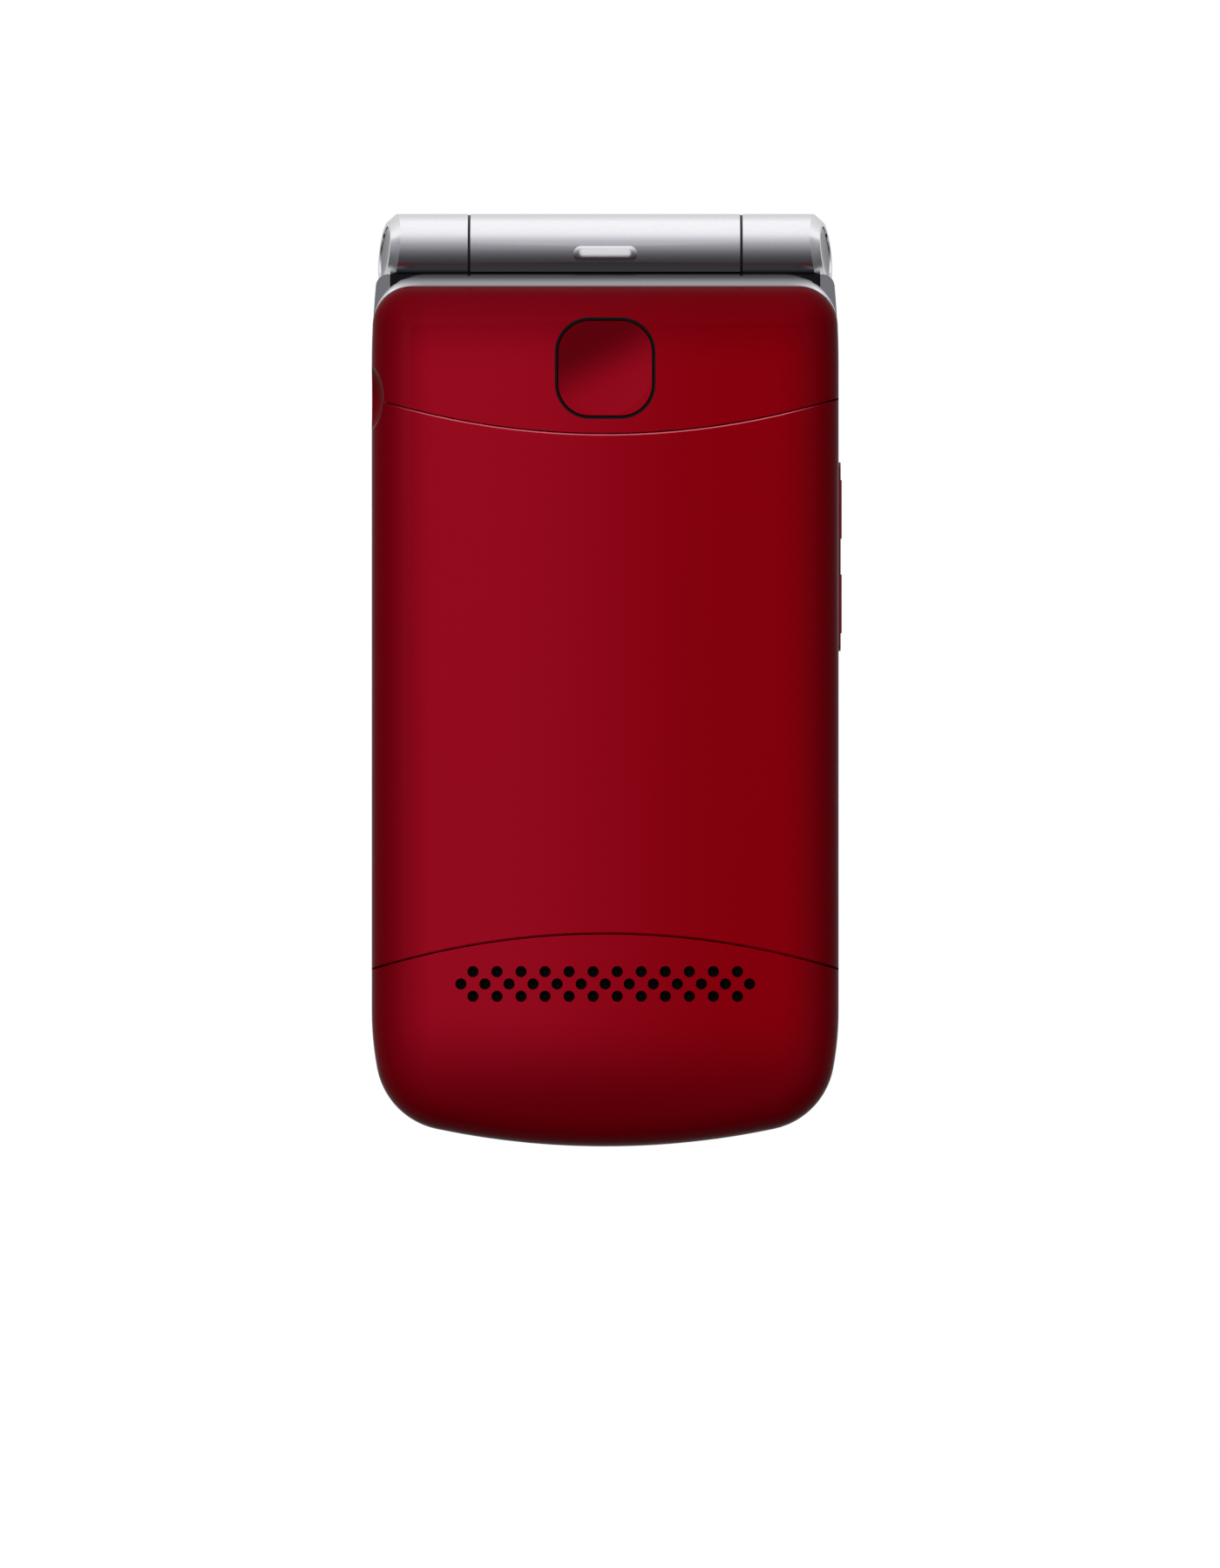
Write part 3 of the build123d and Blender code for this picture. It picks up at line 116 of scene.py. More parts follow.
make_camera()
bpy.context.scene.view_settings.view_transform = "Standard"

# Sky brightness along Y, from the dark side by the phone's foot to the bright wall beyond its hinge
SKY_STOPS = (
    (-1.0, "1c1c1e"),
    (-0.9, "17171a"),
    (-0.74, "252528"),
    (-0.53, "37373b"),
    (-0.27, "4c4c50"),
    (0.0, "6c6c70"),
    (0.37, "a2a2a6"),
    (0.62, "cccccf"),
    (0.82, "f2f2f6"),
    (1.0, "ffffff"),
)


def make_world():
    """A studio sky of one soft gradient, and white for the camera."""
    world = bpy.data.worlds.new("studio")
    bpy.context.scene.world = world
    world.use_nodes = True
    tree = world.node_tree
    tree.nodes.clear()
    coords = add_node(tree, "ShaderNodeTexCoord")
    split = add_node(tree, "ShaderNodeSeparateXYZ", inputs={0: coords.outputs["Generated"]})
    spread = add_node(
        tree,
        "ShaderNodeMapRange",
        inputs={"Value": split.outputs["Y"], "From Min": -1.0, "From Max": 1.0},
    )
    ramp = add_node(tree, "ShaderNodeValToRGB", inputs={"Fac": spread.outputs["Result"]})
    elements = ramp.color_ramp.elements
    while len(elements) < len(SKY_STOPS):
        elements.new(0.5)
    for element, (place, colour) in zip(elements, SKY_STOPS):
        element.position = (place + 1) / 2
        element.color = linear(colour)
    studio = add_node(tree, "ShaderNodeBackground", inputs={"Color": ramp.outputs["Color"], "Strength": 1.0})
    white = add_node(tree, "ShaderNodeBackground", inputs={"Color": "ffffff", "Strength": 1.0})
    path = add_node(tree, "ShaderNodeLightPath")
    seen = add_node(
        tree,
        "ShaderNodeMath",
        {"operation": "MAXIMUM"},
        {0: path.outputs["Is Camera Ray"], 1: path.outputs["Is Transmission Ray"]},
    )
    mix = add_node(
        tree, "ShaderNodeMixShader", inputs={0: seen.outputs[0], 1: studio.outputs[0], 2: white.outputs[0]}
    )
    add_node(tree, "ShaderNodeOutputWorld", inputs={"Surface": mix.outputs[0]})


make_world()


# In reflections the floor is dim, and brightens beyond the hinge, where the sky is brightest too
SHADED_FLOOR = 0.6
SHADE_START = 0.04
SHADE_END = 0.095


def make_floor():
    """A wide pale floor: white where it is seen or mirrored, greyer in the light that it sends back."""
    reach = 3.0
    mesh = bpy.data.meshes.new("floor")
    corners = [(-reach, -reach, 0), (reach, -reach, 0), (reach, reach, 0), (-reach, reach, 0)]
    mesh.from_pydata(corners, [], [(0, 1, 2, 3)])
    floor = bpy.data.objects.new("floor", mesh)
    bpy.context.scene.collection.objects.link(floor)
    material = bpy.data.materials.new("white_studio_paper")
    material.use_nodes = True
    tree = material.node_tree
    tree.nodes.clear()
    paper = add_node(tree, "ShaderNodeBsdfDiffuse", inputs={"Color": "9a9a9a"})
    path = add_node(tree, "ShaderNodeLightPath")
    coords = add_node(tree, "ShaderNodeTexCoord")
    split = add_node(tree, "ShaderNodeSeparateXYZ", inputs={0: coords.outputs["Object"]})
    shade = add_node(
        tree,
        "ShaderNodeMapRange",
        {"interpolation_type": "SMOOTHSTEP"},
        {
            "Value": split.outputs["Y"],
            "From Min": SHADE_START,
            "From Max": SHADE_END,
            "To Min": SHADED_FLOOR,
        },
    )
    glow = add_node(
        tree,
        "ShaderNodeMapRange",
        inputs={
            "Value": path.outputs["Is Glossy Ray"],
            "To Min": 1.0,
            "To Max": shade.outputs["Result"],
        },
    )
    white = add_node(
        tree, "ShaderNodeEmission", inputs={"Color": "ffffff", "Strength": glow.outputs["Result"]}
    )
    seen = path.outputs["Is Camera Ray"]
    for ray in ("Is Glossy Ray", "Is Transmission Ray"):
        seen = add_node(
            tree, "ShaderNodeMath", {"operation": "MAXIMUM"}, {0: seen, 1: path.outputs[ray]}
        ).outputs[0]
    mix = add_node(tree, "ShaderNodeMixShader", inputs={0: seen, 1: paper.outputs[0], 2: white.outputs[0]})
    add_node(tree, "ShaderNodeOutputMaterial", inputs={"Surface": mix.outputs[0]})
    mesh.materials.append(material)


make_floor()


def area_light(name, place, size, power):
    """A square soft light aimed at the phone. It lights, but isn't mirrored as a hard shape."""
    data = bpy.data.lights.new(name, "AREA")
    data.shape = "SQUARE"
    data.size = size
    data.energy = power
    light = bpy.data.objects.new(name, data)
    light.location = place
    light.rotation_euler = (-Vector(place)).to_track_quat("-Z", "Y").to_euler()
    light.visible_glossy = False
    bpy.context.scene.collection.objects.link(light)


area_light("key", place=(-0.3, 0.25, 0.8), size=0.5, power=5.2)
area_light("fill", place=(0.5, -0.15, 0.9), size=0.8, power=1.6)


# Materials
def new_surface(name, **constants):
    """A material, its node tree, its shader with constant sockets set, and its own coordinates."""
    material = bpy.data.materials.new(name)
    material.use_nodes = True
    tree = material.node_tree
    shader = tree.nodes["Principled BSDF"]
    for socket, value in constants.items():
        shader.inputs[socket.replace("_", " ")].default_value = value
    coords = add_node(tree, "ShaderNodeTexCoord")
    return material, tree, shader, coords.outputs["Object"]


# How much of a noise texture's range is used: most of its values lie between these two
NOISE_LOW = 0.3
NOISE_HIGH = 0.7


def uneven_gloss(tree, shader, noise, roughness):
    """A roughness that wanders between two limits with a noise."""
    gloss = add_node(
        tree,
        "ShaderNodeMapRange",
        inputs={
            "Value": noise,
            "From Min": NOISE_LOW,
            "From Max": NOISE_HIGH,
            "To Min": roughness[0],
            "To Max": roughness[1],
        },
    )
    tree.links.new(gloss.outputs["Result"], shader.inputs["Roughness"])


def fine_relief(tree, shader, place, grain, depth, strength):
    """A bump of noise whose grains have a width and a depth."""
    relief = add_node(tree, "ShaderNodeTexNoise", inputs={"Vector": place, "Scale": 1 / grain})
    bump = add_node(
        tree,
        "ShaderNodeBump",
        inputs={"Height": relief.outputs["Fac"], "Strength": strength, "Distance": depth},
    )
    tree.links.new(bump.outputs["Normal"], shader.inputs["Normal"])


def finish(name, colours, blotch, roughness, grain, grain_depth, **constants):
    """A finish whose colour and roughness wander between two limits, over a fine relief.

    blotch and grain are the widths of the blotches and of the relief's grains."""
    material, tree, shader, place = new_surface(name, **constants)
    wander = add_node(
        tree, "ShaderNodeTexNoise", inputs={"Vector": place, "Scale": 1 / blotch, "Detail": 2.0}
    ).outputs["Fac"]
    dark, light = colours
    colour = add_node(tree, "ShaderNodeMix", {"data_type": "RGBA"}, {0: wander, 6: dark, 7: light})
    tree.links.new(colour.outputs[2], shader.inputs["Base Color"])
    uneven_gloss(tree, shader, wander, roughness)
    fine_relief(tree, shader, place, grain, grain_depth, 0.5)
    return material


# Deep red metallic lacquer with painted shade: darker over the rolled sides and the two ends, where those faces
# turn from the light.
# Each fade's two places are where the painted shade is darkest and where the plain red starts.
SHADED_EDGE_RED = "64000a"
# Painted light: a lighter red for the left of the back, a darker one for the right
LIT_LEFT_RED = "960b1e"
SHADED_RIGHT_RED = "86000c"
LACQUER_IOR = 1.45
LACQUER_SPECULAR = 0.02
SIDE_SHADE = (25.6 * MM, 18.5 * MM)
FOOT_SHADE = (-49.0 * MM, -35.5 * MM)
HINGE_END_SHADE = (45.0 * MM, 34.0 * MM)
# Painted light across the back: where the lighter left red ends and where the darker right red starts
LIT_LEFT_TO_SHADED_RIGHT = (-14.0 * MM, 16.0 * MM)
# The painted highlight on the cover's upper edge, and the half widths between which it dies out
EDGE_HIGHLIGHT_PINK = "d0606c"
EDGE_SLOPE = 0.4
EDGE_FADE = (24.2 * MM, 18.5 * MM)


def red_lacquer(name, painted_edge_highlight=False):
    material, tree, shader, place = new_surface(
        name, IOR=LACQUER_IOR, Specular_IOR_Level=LACQUER_SPECULAR
    )
    split = add_node(tree, "ShaderNodeSeparateXYZ", inputs={0: place})
    side = add_node(tree, "ShaderNodeMath", {"operation": "ABSOLUTE"}, {0: split.outputs["X"]})
    # Painted shade: the red darkens towards the rolled sides, the foot and the hinge end
    fade = None
    for value, (thin, full) in (
        (side.outputs[0], SIDE_SHADE),
        (split.outputs["Y"], FOOT_SHADE),
        (split.outputs["Y"], HINGE_END_SHADE),
    ):
        unshaded = add_node(
            tree,
            "ShaderNodeMapRange",
            {"interpolation_type": "SMOOTHSTEP"},
            {"Value": value, "From Min": thin, "From Max": full},
        ).outputs["Result"]
        if fade is not None:
            unshaded = add_node(
                tree, "ShaderNodeMath", {"operation": "MULTIPLY"}, {0: fade, 1: unshaded}
            ).outputs[0]
        fade = unshaded
    # Painted light: the back's red is lighter on the left and darker on the right
    across = add_node(
        tree,
        "ShaderNodeMapRange",
        {"interpolation_type": "SMOOTHSTEP"},
        {"Value": split.outputs["X"], "From Min": LIT_LEFT_TO_SHADED_RIGHT[0], "From Max": LIT_LEFT_TO_SHADED_RIGHT[1]},
    )
    body = add_node(
        tree,
        "ShaderNodeMix",
        {"data_type": "RGBA"},
        {0: across.outputs["Result"], 6: LIT_LEFT_RED, 7: SHADED_RIGHT_RED},
    )
    paint = add_node(
        tree, "ShaderNodeMix", {"data_type": "RGBA"}, {0: fade, 6: SHADED_EDGE_RED, 7: body.outputs[2]}
    )
    # Painted highlight: a pale pink line on the cover's edge faces that turn towards the hinge end
    if painted_edge_highlight:
        coords = add_node(tree, "ShaderNodeTexCoord")
        normal = add_node(tree, "ShaderNodeSeparateXYZ", inputs={0: coords.outputs["Normal"]})
        facing = add_node(
            tree, "ShaderNodeMath", {"operation": "GREATER_THAN"}, {0: normal.outputs["Y"], 1: EDGE_SLOPE}
        )
        middle = add_node(
            tree,
            "ShaderNodeMapRange",
            {"interpolation_type": "SMOOTHSTEP"},
            {"Value": side.outputs[0], "From Min": EDGE_FADE[0], "From Max": EDGE_FADE[1]},
        )
        glint = add_node(
            tree,
            "ShaderNodeMath",
            {"operation": "MULTIPLY"},
            {0: facing.outputs[0], 1: middle.outputs["Result"]},
        )
        paint = add_node(
            tree,
            "ShaderNodeMix",
            {"data_type": "RGBA"},
            {0: glint.outputs[0], 6: paint.outputs[2], 7: EDGE_HIGHLIGHT_PINK},
        )
    tree.links.new(paint.outputs[2], shader.inputs["Base Color"])
    haze = add_node(tree, "ShaderNodeTexNoise", inputs={"Vector": place, "Scale": 1 / (6 * MM)})
    uneven_gloss(tree, shader, haze.outputs["Fac"], (0.2, 0.26))
    fine_relief(tree, shader, place, 0.5 * MM, 0.002 * MM, 0.3)
    return material


# The same lacquer in the button's dish, with painted shade: darker under its upper left lip, where the dish lies
# in shade.
# The shade runs along a slope, from a little above the middle of the dish to a little below it.
SHADE_SLOPE = (0.48, -0.88, 0.0)
SHADE_ABOVE = 3.2 * MM
SHADE_BELOW = 2.4 * MM


def dish_lacquer():
    material, tree, shader, place = new_surface(
        "red_lacquer_with_painted_dish_shade", IOR=LACQUER_IOR, Specular_IOR_Level=LACQUER_SPECULAR
    )
    low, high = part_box("emergency_button")
    centre = (low + high) / 2
    middle = SHADE_SLOPE[0] * centre.x + SHADE_SLOPE[1] * centre.y
    slope = add_node(
        tree, "ShaderNodeVectorMath", {"operation": "DOT_PRODUCT"}, {0: place, 1: SHADE_SLOPE}
    )
    shade = add_node(
        tree,
        "ShaderNodeMapRange",
        {"interpolation_type": "SMOOTHSTEP"},
        {
            "Value": slope.outputs["Value"],
            "From Min": middle - SHADE_ABOVE,
            "From Max": middle + SHADE_BELOW,
        },
    )
    # Painted shade: dark red under the dish's upper left lip, the plain red beyond
    paint = add_node(
        tree,
        "ShaderNodeMix",
        {"data_type": "RGBA"},
        {0: shade.outputs["Result"], 6: "5e020d", 7: "90081a"},
    )
    tree.links.new(paint.outputs[2], shader.inputs["Base Color"])
    haze = add_node(tree, "ShaderNodeTexNoise", inputs={"Vector": place, "Scale": 1 / (3 * MM)})
    uneven_gloss(tree, shader, haze.outputs["Fac"], (0.24, 0.32))
    return material


# Silver paint with fine aluminium flake: bright, with a satin blur in its reflections
SILVER_COLOURS = ("eeeef2", "fcfcff")
SILVER_GLOSS = (0.15, 0.19)
FLAKE = 0.2 * MM
SILVER = finish(
    "silver_flake_paint",
    colours=SILVER_COLOURS,
    blotch=FLAKE,
    roughness=SILVER_GLOSS,
    grain=0.25 * MM,
    grain_depth=0.0006 * MM,
    Metallic=1.0,
)
RED = red_lacquer("sprayed_red_lacquer_with_painted_shade")
# The cover's upper edge carries a painted highlight, a paler line on the faces that turn towards the hinge end
COVER_RED = red_lacquer("red_lacquer_with_painted_edge_highlight", painted_edge_highlight=True)
DISH_RED = dish_lacquer()
# The rocker is moulded in red and tumbled. Its colour is painted light: a shade brighter than the lacquer round
# it, to lift it out of the shade under the back's rolled edge
ROCKER_RED = finish(
    "tumbled_red_polycarbonate_with_painted_light",
    colours=("920a1a", "9e0e20"),
    blotch=2 * MM,
    roughness=(0.3, 0.38),
    grain=0.2 * MM,
    grain_depth=0.001 * MM,
    IOR=1.45,
)
# Fine spark-eroded texture on black ABS: matte, with a grain that just shows up close
BLACK_ABS = finish(
    "spark_textured_black_abs",
    colours=("0b0b0d", "141417"),
    blotch=5 * MM,
    roughness=(0.42, 0.5),
    grain=0.12 * MM,
    grain_depth=0.006 * MM,
    IOR=1.5,
)
# Polished black acrylic over the switched-off displays
ACRYLIC = finish(
    "polished_dark_acrylic",
    colours=("030305", "060609"),
    blotch=20 * MM,
    roughness=(0.03, 0.06),
    grain=3 * MM,
    grain_depth=0.0002 * MM,
    IOR=1.49,
)
# The display behind the window, a shade greyer than its black border
DISPLAY = finish(
    "switched_off_display_glass",
    colours=("08090c", "0b0c10"),
    blotch=30 * MM,
    roughness=(0.1, 0.14),
    grain=2 * MM,
    grain_depth=0.0002 * MM,
    IOR=1.5,
)
# Hard-coated polycarbonate keys, graphite and softly glossy
KEY_PLASTIC = finish(
    "hard_coated_key_polycarbonate",
    colours=("1c1d21", "25262b"),
    blotch=4 * MM,
    roughness=(0.24, 0.32),
    grain=0.3 * MM,
    grain_depth=0.002 * MM,
    IOR=1.58,
)
# Bright plating on the barrel's end discs, a shade darker than the silver paint round them
PLATING = finish(
    "nickel_plated_disc",
    colours=("8a8a8f", "9e9ea3"),
    blotch=1.5 * MM,
    roughness=(0.12, 0.18),
    grain=0.2 * MM,
    grain_depth=0.0006 * MM,
    Metallic=1.0,
)
# Black silicone, dull and slightly dusty
RUBBER = finish(
    "moulded_black_silicone",
    colours=("040404", "080808"),
    blotch=2 * MM,
    roughness=(0.55, 0.7),
    grain=0.1 * MM,
    grain_depth=0.003 * MM,
    IOR=1.41,
)
# Translucent silicone of the key mat
KEY_RUBBER = finish(
    "moulded_milky_silicone",
    colours=("b9bab8", "cfd0cd"),
    blotch=5 * MM,
    roughness=(0.5, 0.6),
    grain=0.2 * MM,
    grain_depth=0.003 * MM,
    IOR=1.41,
)
# Stamped steel with bright zinc plating
STEEL = finish(
    "zinc_plated_steel",
    colours=("9a9a9c", "b6b6b9"),
    blotch=1 * MM,
    roughness=(0.22, 0.34),
    grain=0.15 * MM,
    grain_depth=0.001 * MM,
    Metallic=1.0,
)
# Natural acetal, waxy white
ACETAL = finish(
    "natural_acetal",
    colours=("cfcfc8", "dadad4"),
    blotch=2 * MM,
    roughness=(0.35, 0.42),
    grain=0.2 * MM,
    grain_depth=0.002 * MM,
    IOR=1.48,
)
# Solder mask over copper, whose traces show as a faint relief
SOLDER_MASK = finish(
    "green_solder_mask",
    colours=("0b3a1c", "14512a"),
    blotch=1.2 * MM,
    roughness=(0.3, 0.4),
    grain=0.6 * MM,
    grain_depth=0.012 * MM,
    IOR=1.5,
)
# Amber polyimide film
FILM = finish(
    "amber_polyimide",
    colours=("8a5a1c", "9c6a26"),
    blotch=3 * MM,
    roughness=(0.3, 0.4),
    grain=0.5 * MM,
    grain_depth=0.002 * MM,
    IOR=1.6,
)
# Component bodies in moulded black epoxy
COMPONENT = finish(
    "moulded_black_epoxy",
    colours=("0d0d0e", "161617"),
    blotch=2 * MM,
    roughness=(0.5, 0.6),
    grain=0.1 * MM,
    grain_depth=0.004 * MM,
    IOR=1.5,
)
# Shrink sleeve round the battery, plain pale grey
SLEEVE = finish(
    "shrunk_battery_sleeve",
    colours=("c3c4c2", "cdcecb"),
    blotch=9 * MM,
    roughness=(0.3, 0.38),
    grain=0.8 * MM,
    grain_depth=0.004 * MM,
    IOR=1.5,
)
# Frosted polycarbonate of the lamp, milky white
LAMP = finish(
    "frosted_lamp_lens",
    colours=("e4e4e6", "f4f4f6"),
    blotch=1 * MM,
    roughness=(0.35, 0.45),
    grain=0.2 * MM,
    grain_depth=0.002 * MM,
    IOR=1.58,
)
# Gold flash on contacts
GOLD = finish(
    "gold_flash",
    colours=("c79a45", "dcb25c"),
    blotch=1 * MM,
    roughness=(0.2, 0.28),
    grain=0.1 * MM,
    grain_depth=0.0006 * MM,
    Metallic=1.0,
)
# Pad-printed inks on the keys, slightly chalky
INK = finish(
    "pad_printed_white",
    colours=("dcdcdc", "ececec"),
    blotch=1 * MM,
    roughness=(0.5, 0.6),
    grain=0.1 * MM,
    grain_depth=0.001 * MM,
    IOR=1.5,
)
GREEN_INK = finish(
    "pad_printed_green",
    colours=("128a3a", "1a9c45"),
    blotch=1 * MM,
    roughness=(0.5, 0.6),
    grain=0.1 * MM,
    grain_depth=0.001 * MM,
    IOR=1.5,
)
RED_INK = finish(
    "pad_printed_red",
    colours=("c01820", "d02028"),
    blotch=1 * MM,
    roughness=(0.5, 0.6),
    grain=0.1 * MM,
    grain_depth=0.001 * MM,
    IOR=1.5,
)

# Black polyester dust mesh in plain weave, drawn at a 0.25 mm pitch so that it shows
THREAD_PITCH = 0.25 * MM
# A wave texture of scale 1 repeats every pi / 10 metres
WAVE_PERIOD = math.pi / 10


def woven_mesh():
    material, tree, shader, place = new_surface("woven_dust_mesh", Roughness=0.75)
    threads = None
    for direction in ("X", "Y"):
        wave = add_node(
            tree,
            "ShaderNodeTexWave",
            {"bands_direction": direction},
            {"Vector": place, "Scale": WAVE_PERIOD / THREAD_PITCH, "Distortion": 0.0},
        ).outputs["Fac"]
        if threads is not None:
            wave = add_node(
                tree, "ShaderNodeMath", {"operation": "MULTIPLY"}, {0: threads, 1: wave}
            ).outputs[0]
        threads = wave
    colour = add_node(tree, "ShaderNodeMix", {"data_type": "RGBA"}, {0: threads, 6: "020202", 7: "0b0b0b"})
    bump = add_node(
        tree, "ShaderNodeBump", inputs={"Height": threads, "Strength": 0.6, "Distance": 0.05 * MM}
    )
    tree.links.new(colour.outputs[2], shader.inputs["Base Color"])
    tree.links.new(bump.outputs["Normal"], shader.inputs["Normal"])
    return material


# The frame's silver spray with painted shade: it darkens to grey where its end faces the hinge barrel, which also
# darkens what the barrel mirrors.
# Above the shoulder the painted shade comes on gradually, and below it only the end wall is darkened.
HINGE_SHADE_GREY = "3c3c3e"
SHOULDER_Z = 12.9 * MM
UPPER_HINGE_SHADE = (43.0 * MM, 45.0 * MM)
WALL_BACK_Y = 42.6 * MM
WALL_FRONT_FADE = (45.9 * MM, 45.3 * MM)
WALL_HALF_WIDTH = 24.0 * MM


def silver_with_painted_hinge_shade():
    material, tree, shader, place = new_surface("silver_spray_with_painted_hinge_shade", Metallic=1.0)
    split = add_node(tree, "ShaderNodeSeparateXYZ", inputs={0: place})
    side = add_node(tree, "ShaderNodeMath", {"operation": "ABSOLUTE"}, {0: split.outputs["X"]})
    regions = []
    for (start, end), limits in (
        (UPPER_HINGE_SHADE, (("GREATER_THAN", split.outputs["Z"], SHOULDER_Z),)),
        (
            WALL_FRONT_FADE,
            (
                ("GREATER_THAN", split.outputs["Y"], WALL_BACK_Y),
                ("LESS_THAN", side.outputs[0], WALL_HALF_WIDTH),
                ("LESS_THAN", split.outputs["Z"], SHOULDER_Z),
            ),
        ),
    ):
        region = add_node(
            tree,
            "ShaderNodeMapRange",
            {"interpolation_type": "SMOOTHSTEP"},
            {"Value": split.outputs["Y"], "From Min": start, "From Max": end},
        ).outputs["Result"]
        for comparison, value, limit in limits:
            within = add_node(tree, "ShaderNodeMath", {"operation": comparison}, {0: value, 1: limit})
            region = add_node(
                tree, "ShaderNodeMath", {"operation": "MULTIPLY"}, {0: region, 1: within.outputs[0]}
            ).outputs[0]
        regions.append(region)
    # Painted shade: grey in place of silver where the frame meets the hinge barrel
    bare = add_node(
        tree, "ShaderNodeMath", {"operation": "MAXIMUM"}, {0: regions[0], 1: regions[1]}
    )
    flake = add_node(tree, "ShaderNodeTexNoise", inputs={"Vector": place, "Scale": 1 / FLAKE})
    silver = add_node(
        tree,
        "ShaderNodeMix",
        {"data_type": "RGBA"},
        {0: flake.outputs["Fac"], 6: SILVER_COLOURS[0], 7: SILVER_COLOURS[1]},
    )
    paint = add_node(
        tree,
        "ShaderNodeMix",
        {"data_type": "RGBA"},
        {0: bare.outputs[0], 6: silver.outputs[2], 7: HINGE_SHADE_GREY},
    )
    tree.links.new(paint.outputs[2], shader.inputs["Base Color"])
    uneven_gloss(tree, shader, flake.outputs["Fac"], SILVER_GLOSS)
    return material


# Clear acrylic window with a black printed border, over a display that is switched off
def printed_window(name, window, display, border):
    """The border reaches over the display's edge by border."""
    material, tree, shader, place = new_surface(name, IOR=1.49, Coat_Weight=0.3, Coat_Roughness=0.02)
    low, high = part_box(display)
    middle = (low + high) / 2
    split = add_node(tree, "ShaderNodeSeparateXYZ", inputs={0: place})
    inside = None
    for axis in (0, 1):
        offset = add_node(
            tree, "ShaderNodeMath", {"operation": "SUBTRACT"}, {0: split.outputs[axis], 1: middle[axis]}
        )
        reach = add_node(tree, "ShaderNodeMath", {"operation": "ABSOLUTE"}, {0: offset.outputs[0]})
        limit = (high[axis] - low[axis]) / 2 - border
        within = add_node(
            tree, "ShaderNodeMath", {"operation": "LESS_THAN"}, {0: reach.outputs[0], 1: limit}
        ).outputs[0]
        if inside is not None:
            within = add_node(
                tree, "ShaderNodeMath", {"operation": "MULTIPLY"}, {0: inside, 1: within}
            ).outputs[0]
        inside = within
    cloud = add_node(tree, "ShaderNodeTexNoise", inputs={"Vector": place, "Scale": 1 / (12 * MM)})
    screen = add_node(
        tree, "ShaderNodeMix", {"data_type": "RGBA"}, {0: cloud.outputs["Fac"], 6: "101216", 7: "14161b"}
    )
    colour = add_node(
        tree, "ShaderNodeMix", {"data_type": "RGBA"}, {0: inside, 6: "020203", 7: screen.outputs[2]}
    )
    tree.links.new(colour.outputs[2], shader.inputs["Base Color"])
    uneven_gloss(tree, shader, cloud.outputs["Fac"], (0.03, 0.05))
    nodes[window].data.materials[0] = material


SLOT_MATERIALS = {
    "red_shell": RED,
    "silver_shell": SILVER,
    "black_shell": BLACK_ABS,
    "window": ACRYLIC,
    "lamp_lens": LAMP,
    "display": DISPLAY,
    "key_plastic": KEY_PLASTIC,
    "chrome_trim": PLATING,
    "black_rubber": RUBBER,
    "key_rubber": KEY_RUBBER,
    "steel": STEEL,
    "bush_plastic": ACETAL,
    "board": SOLDER_MASK,
    "film": FILM,
    "black_part": COMPONENT,
    "mesh_cloth": woven_mesh(),
    "battery_wrap": SLEEVE,
}

for subpart in frame["record"]["subparts"]:
    piece = nodes[subpart["node"]]
    piece.data.materials.clear()
    piece.data.materials.append(SLOT_MATERIALS[subpart["material_slot"]])
nodes["emergency_button"].data.materials[0] = DISH_RED
nodes["battery_cover"].data.materials[0] = COVER_RED
nodes["volume_rocker"].data.materials[0] = ROCKER_RED
nodes["base_frame"].data.materials[0] = silver_with_painted_hinge_shade()
printed_window(
    "main_window_with_printed_border",
    window="main_display_window",
    display="main_display_panel",
    border=1.0 * MM,
)
printed_window(
    "outer_window_with_printed_border",
    window="outer_display_window",
    display="outer_display_module",
    border=3.0 * MM,
)


# Pieces made here
def finish_piece(mesh, name, body, material, smooth=False):
    """A piece from a mesh that is already in its place, riding on a body."""
    mesh.materials.clear()
    mesh.materials.append(material)
    if smooth:
        mesh.polygons.foreach_set("use_smooth", [True] * len(mesh.polygons))
    piece = bpy.data.objects.new(name, mesh)
    bpy.context.scene.collection.objects.link(piece)
    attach(piece, body)
    return piece


def outline_plate(name, loops, depth):
    """A thin plate from one or more outlines of (x, y) points, lying on z = 0 and depth thick."""
    shape = bmesh.new()
    for loop in loops:
        shape.faces.new([shape.verts.new((x, y, 0)) for x, y in loop])
    grown = bmesh.ops.extrude_face_region(shape, geom=list(shape.faces))
    top = [item for item in grown["geom"] if isinstance(item, bmesh.types.BMVert)]
    bmesh.ops.translate(shape, verts=top, vec=(0, 0, depth))
    bmesh.ops.recalc_face_normals(shape, faces=list(shape.faces))
    mesh = bpy.data.meshes.new(name)
    shape.to_mesh(mesh)
    shape.free()
    return mesh


def mesh_corners(mesh):
    """The lowest and highest corners of a mesh."""
    points = [vertex.co for vertex in mesh.vertices]
    low = Vector([min(point[axis] for point in points) for axis in range(3)])
    high = Vector([max(point[axis] for point in points) for axis in range(3)])
    return low, high


def text_plate(text, size, depth):
    """A word or number as a thin raised print, centred on the origin."""
    curve = bpy.data.curves.new(text, "FONT")
    curve.body = text
    curve.size = size
    curve.align_x = "CENTER"
    curve.align_y = "CENTER"
    curve.extrude = depth / 2
    curve.resolution_u = 6
    holder = bpy.data.objects.new(text, curve)
    bpy.context.scene.collection.objects.link(holder)
    mesh = bpy.data.meshes.new_from_object(holder.evaluated_get(bpy.context.evaluated_depsgraph_get()))
    bpy.data.objects.remove(holder)
    low, high = mesh_corners(mesh)
    middle = (low + high) / 2
    mesh.transform(Matrix.Translation((-middle.x, -middle.y, depth / 2)))
    return mesh


# Prints on the keys face the lid, so they are turned over to read from the front
PRINT_DEPTH = 0.05 * MM
PRINT_SINK = 0.02 * MM


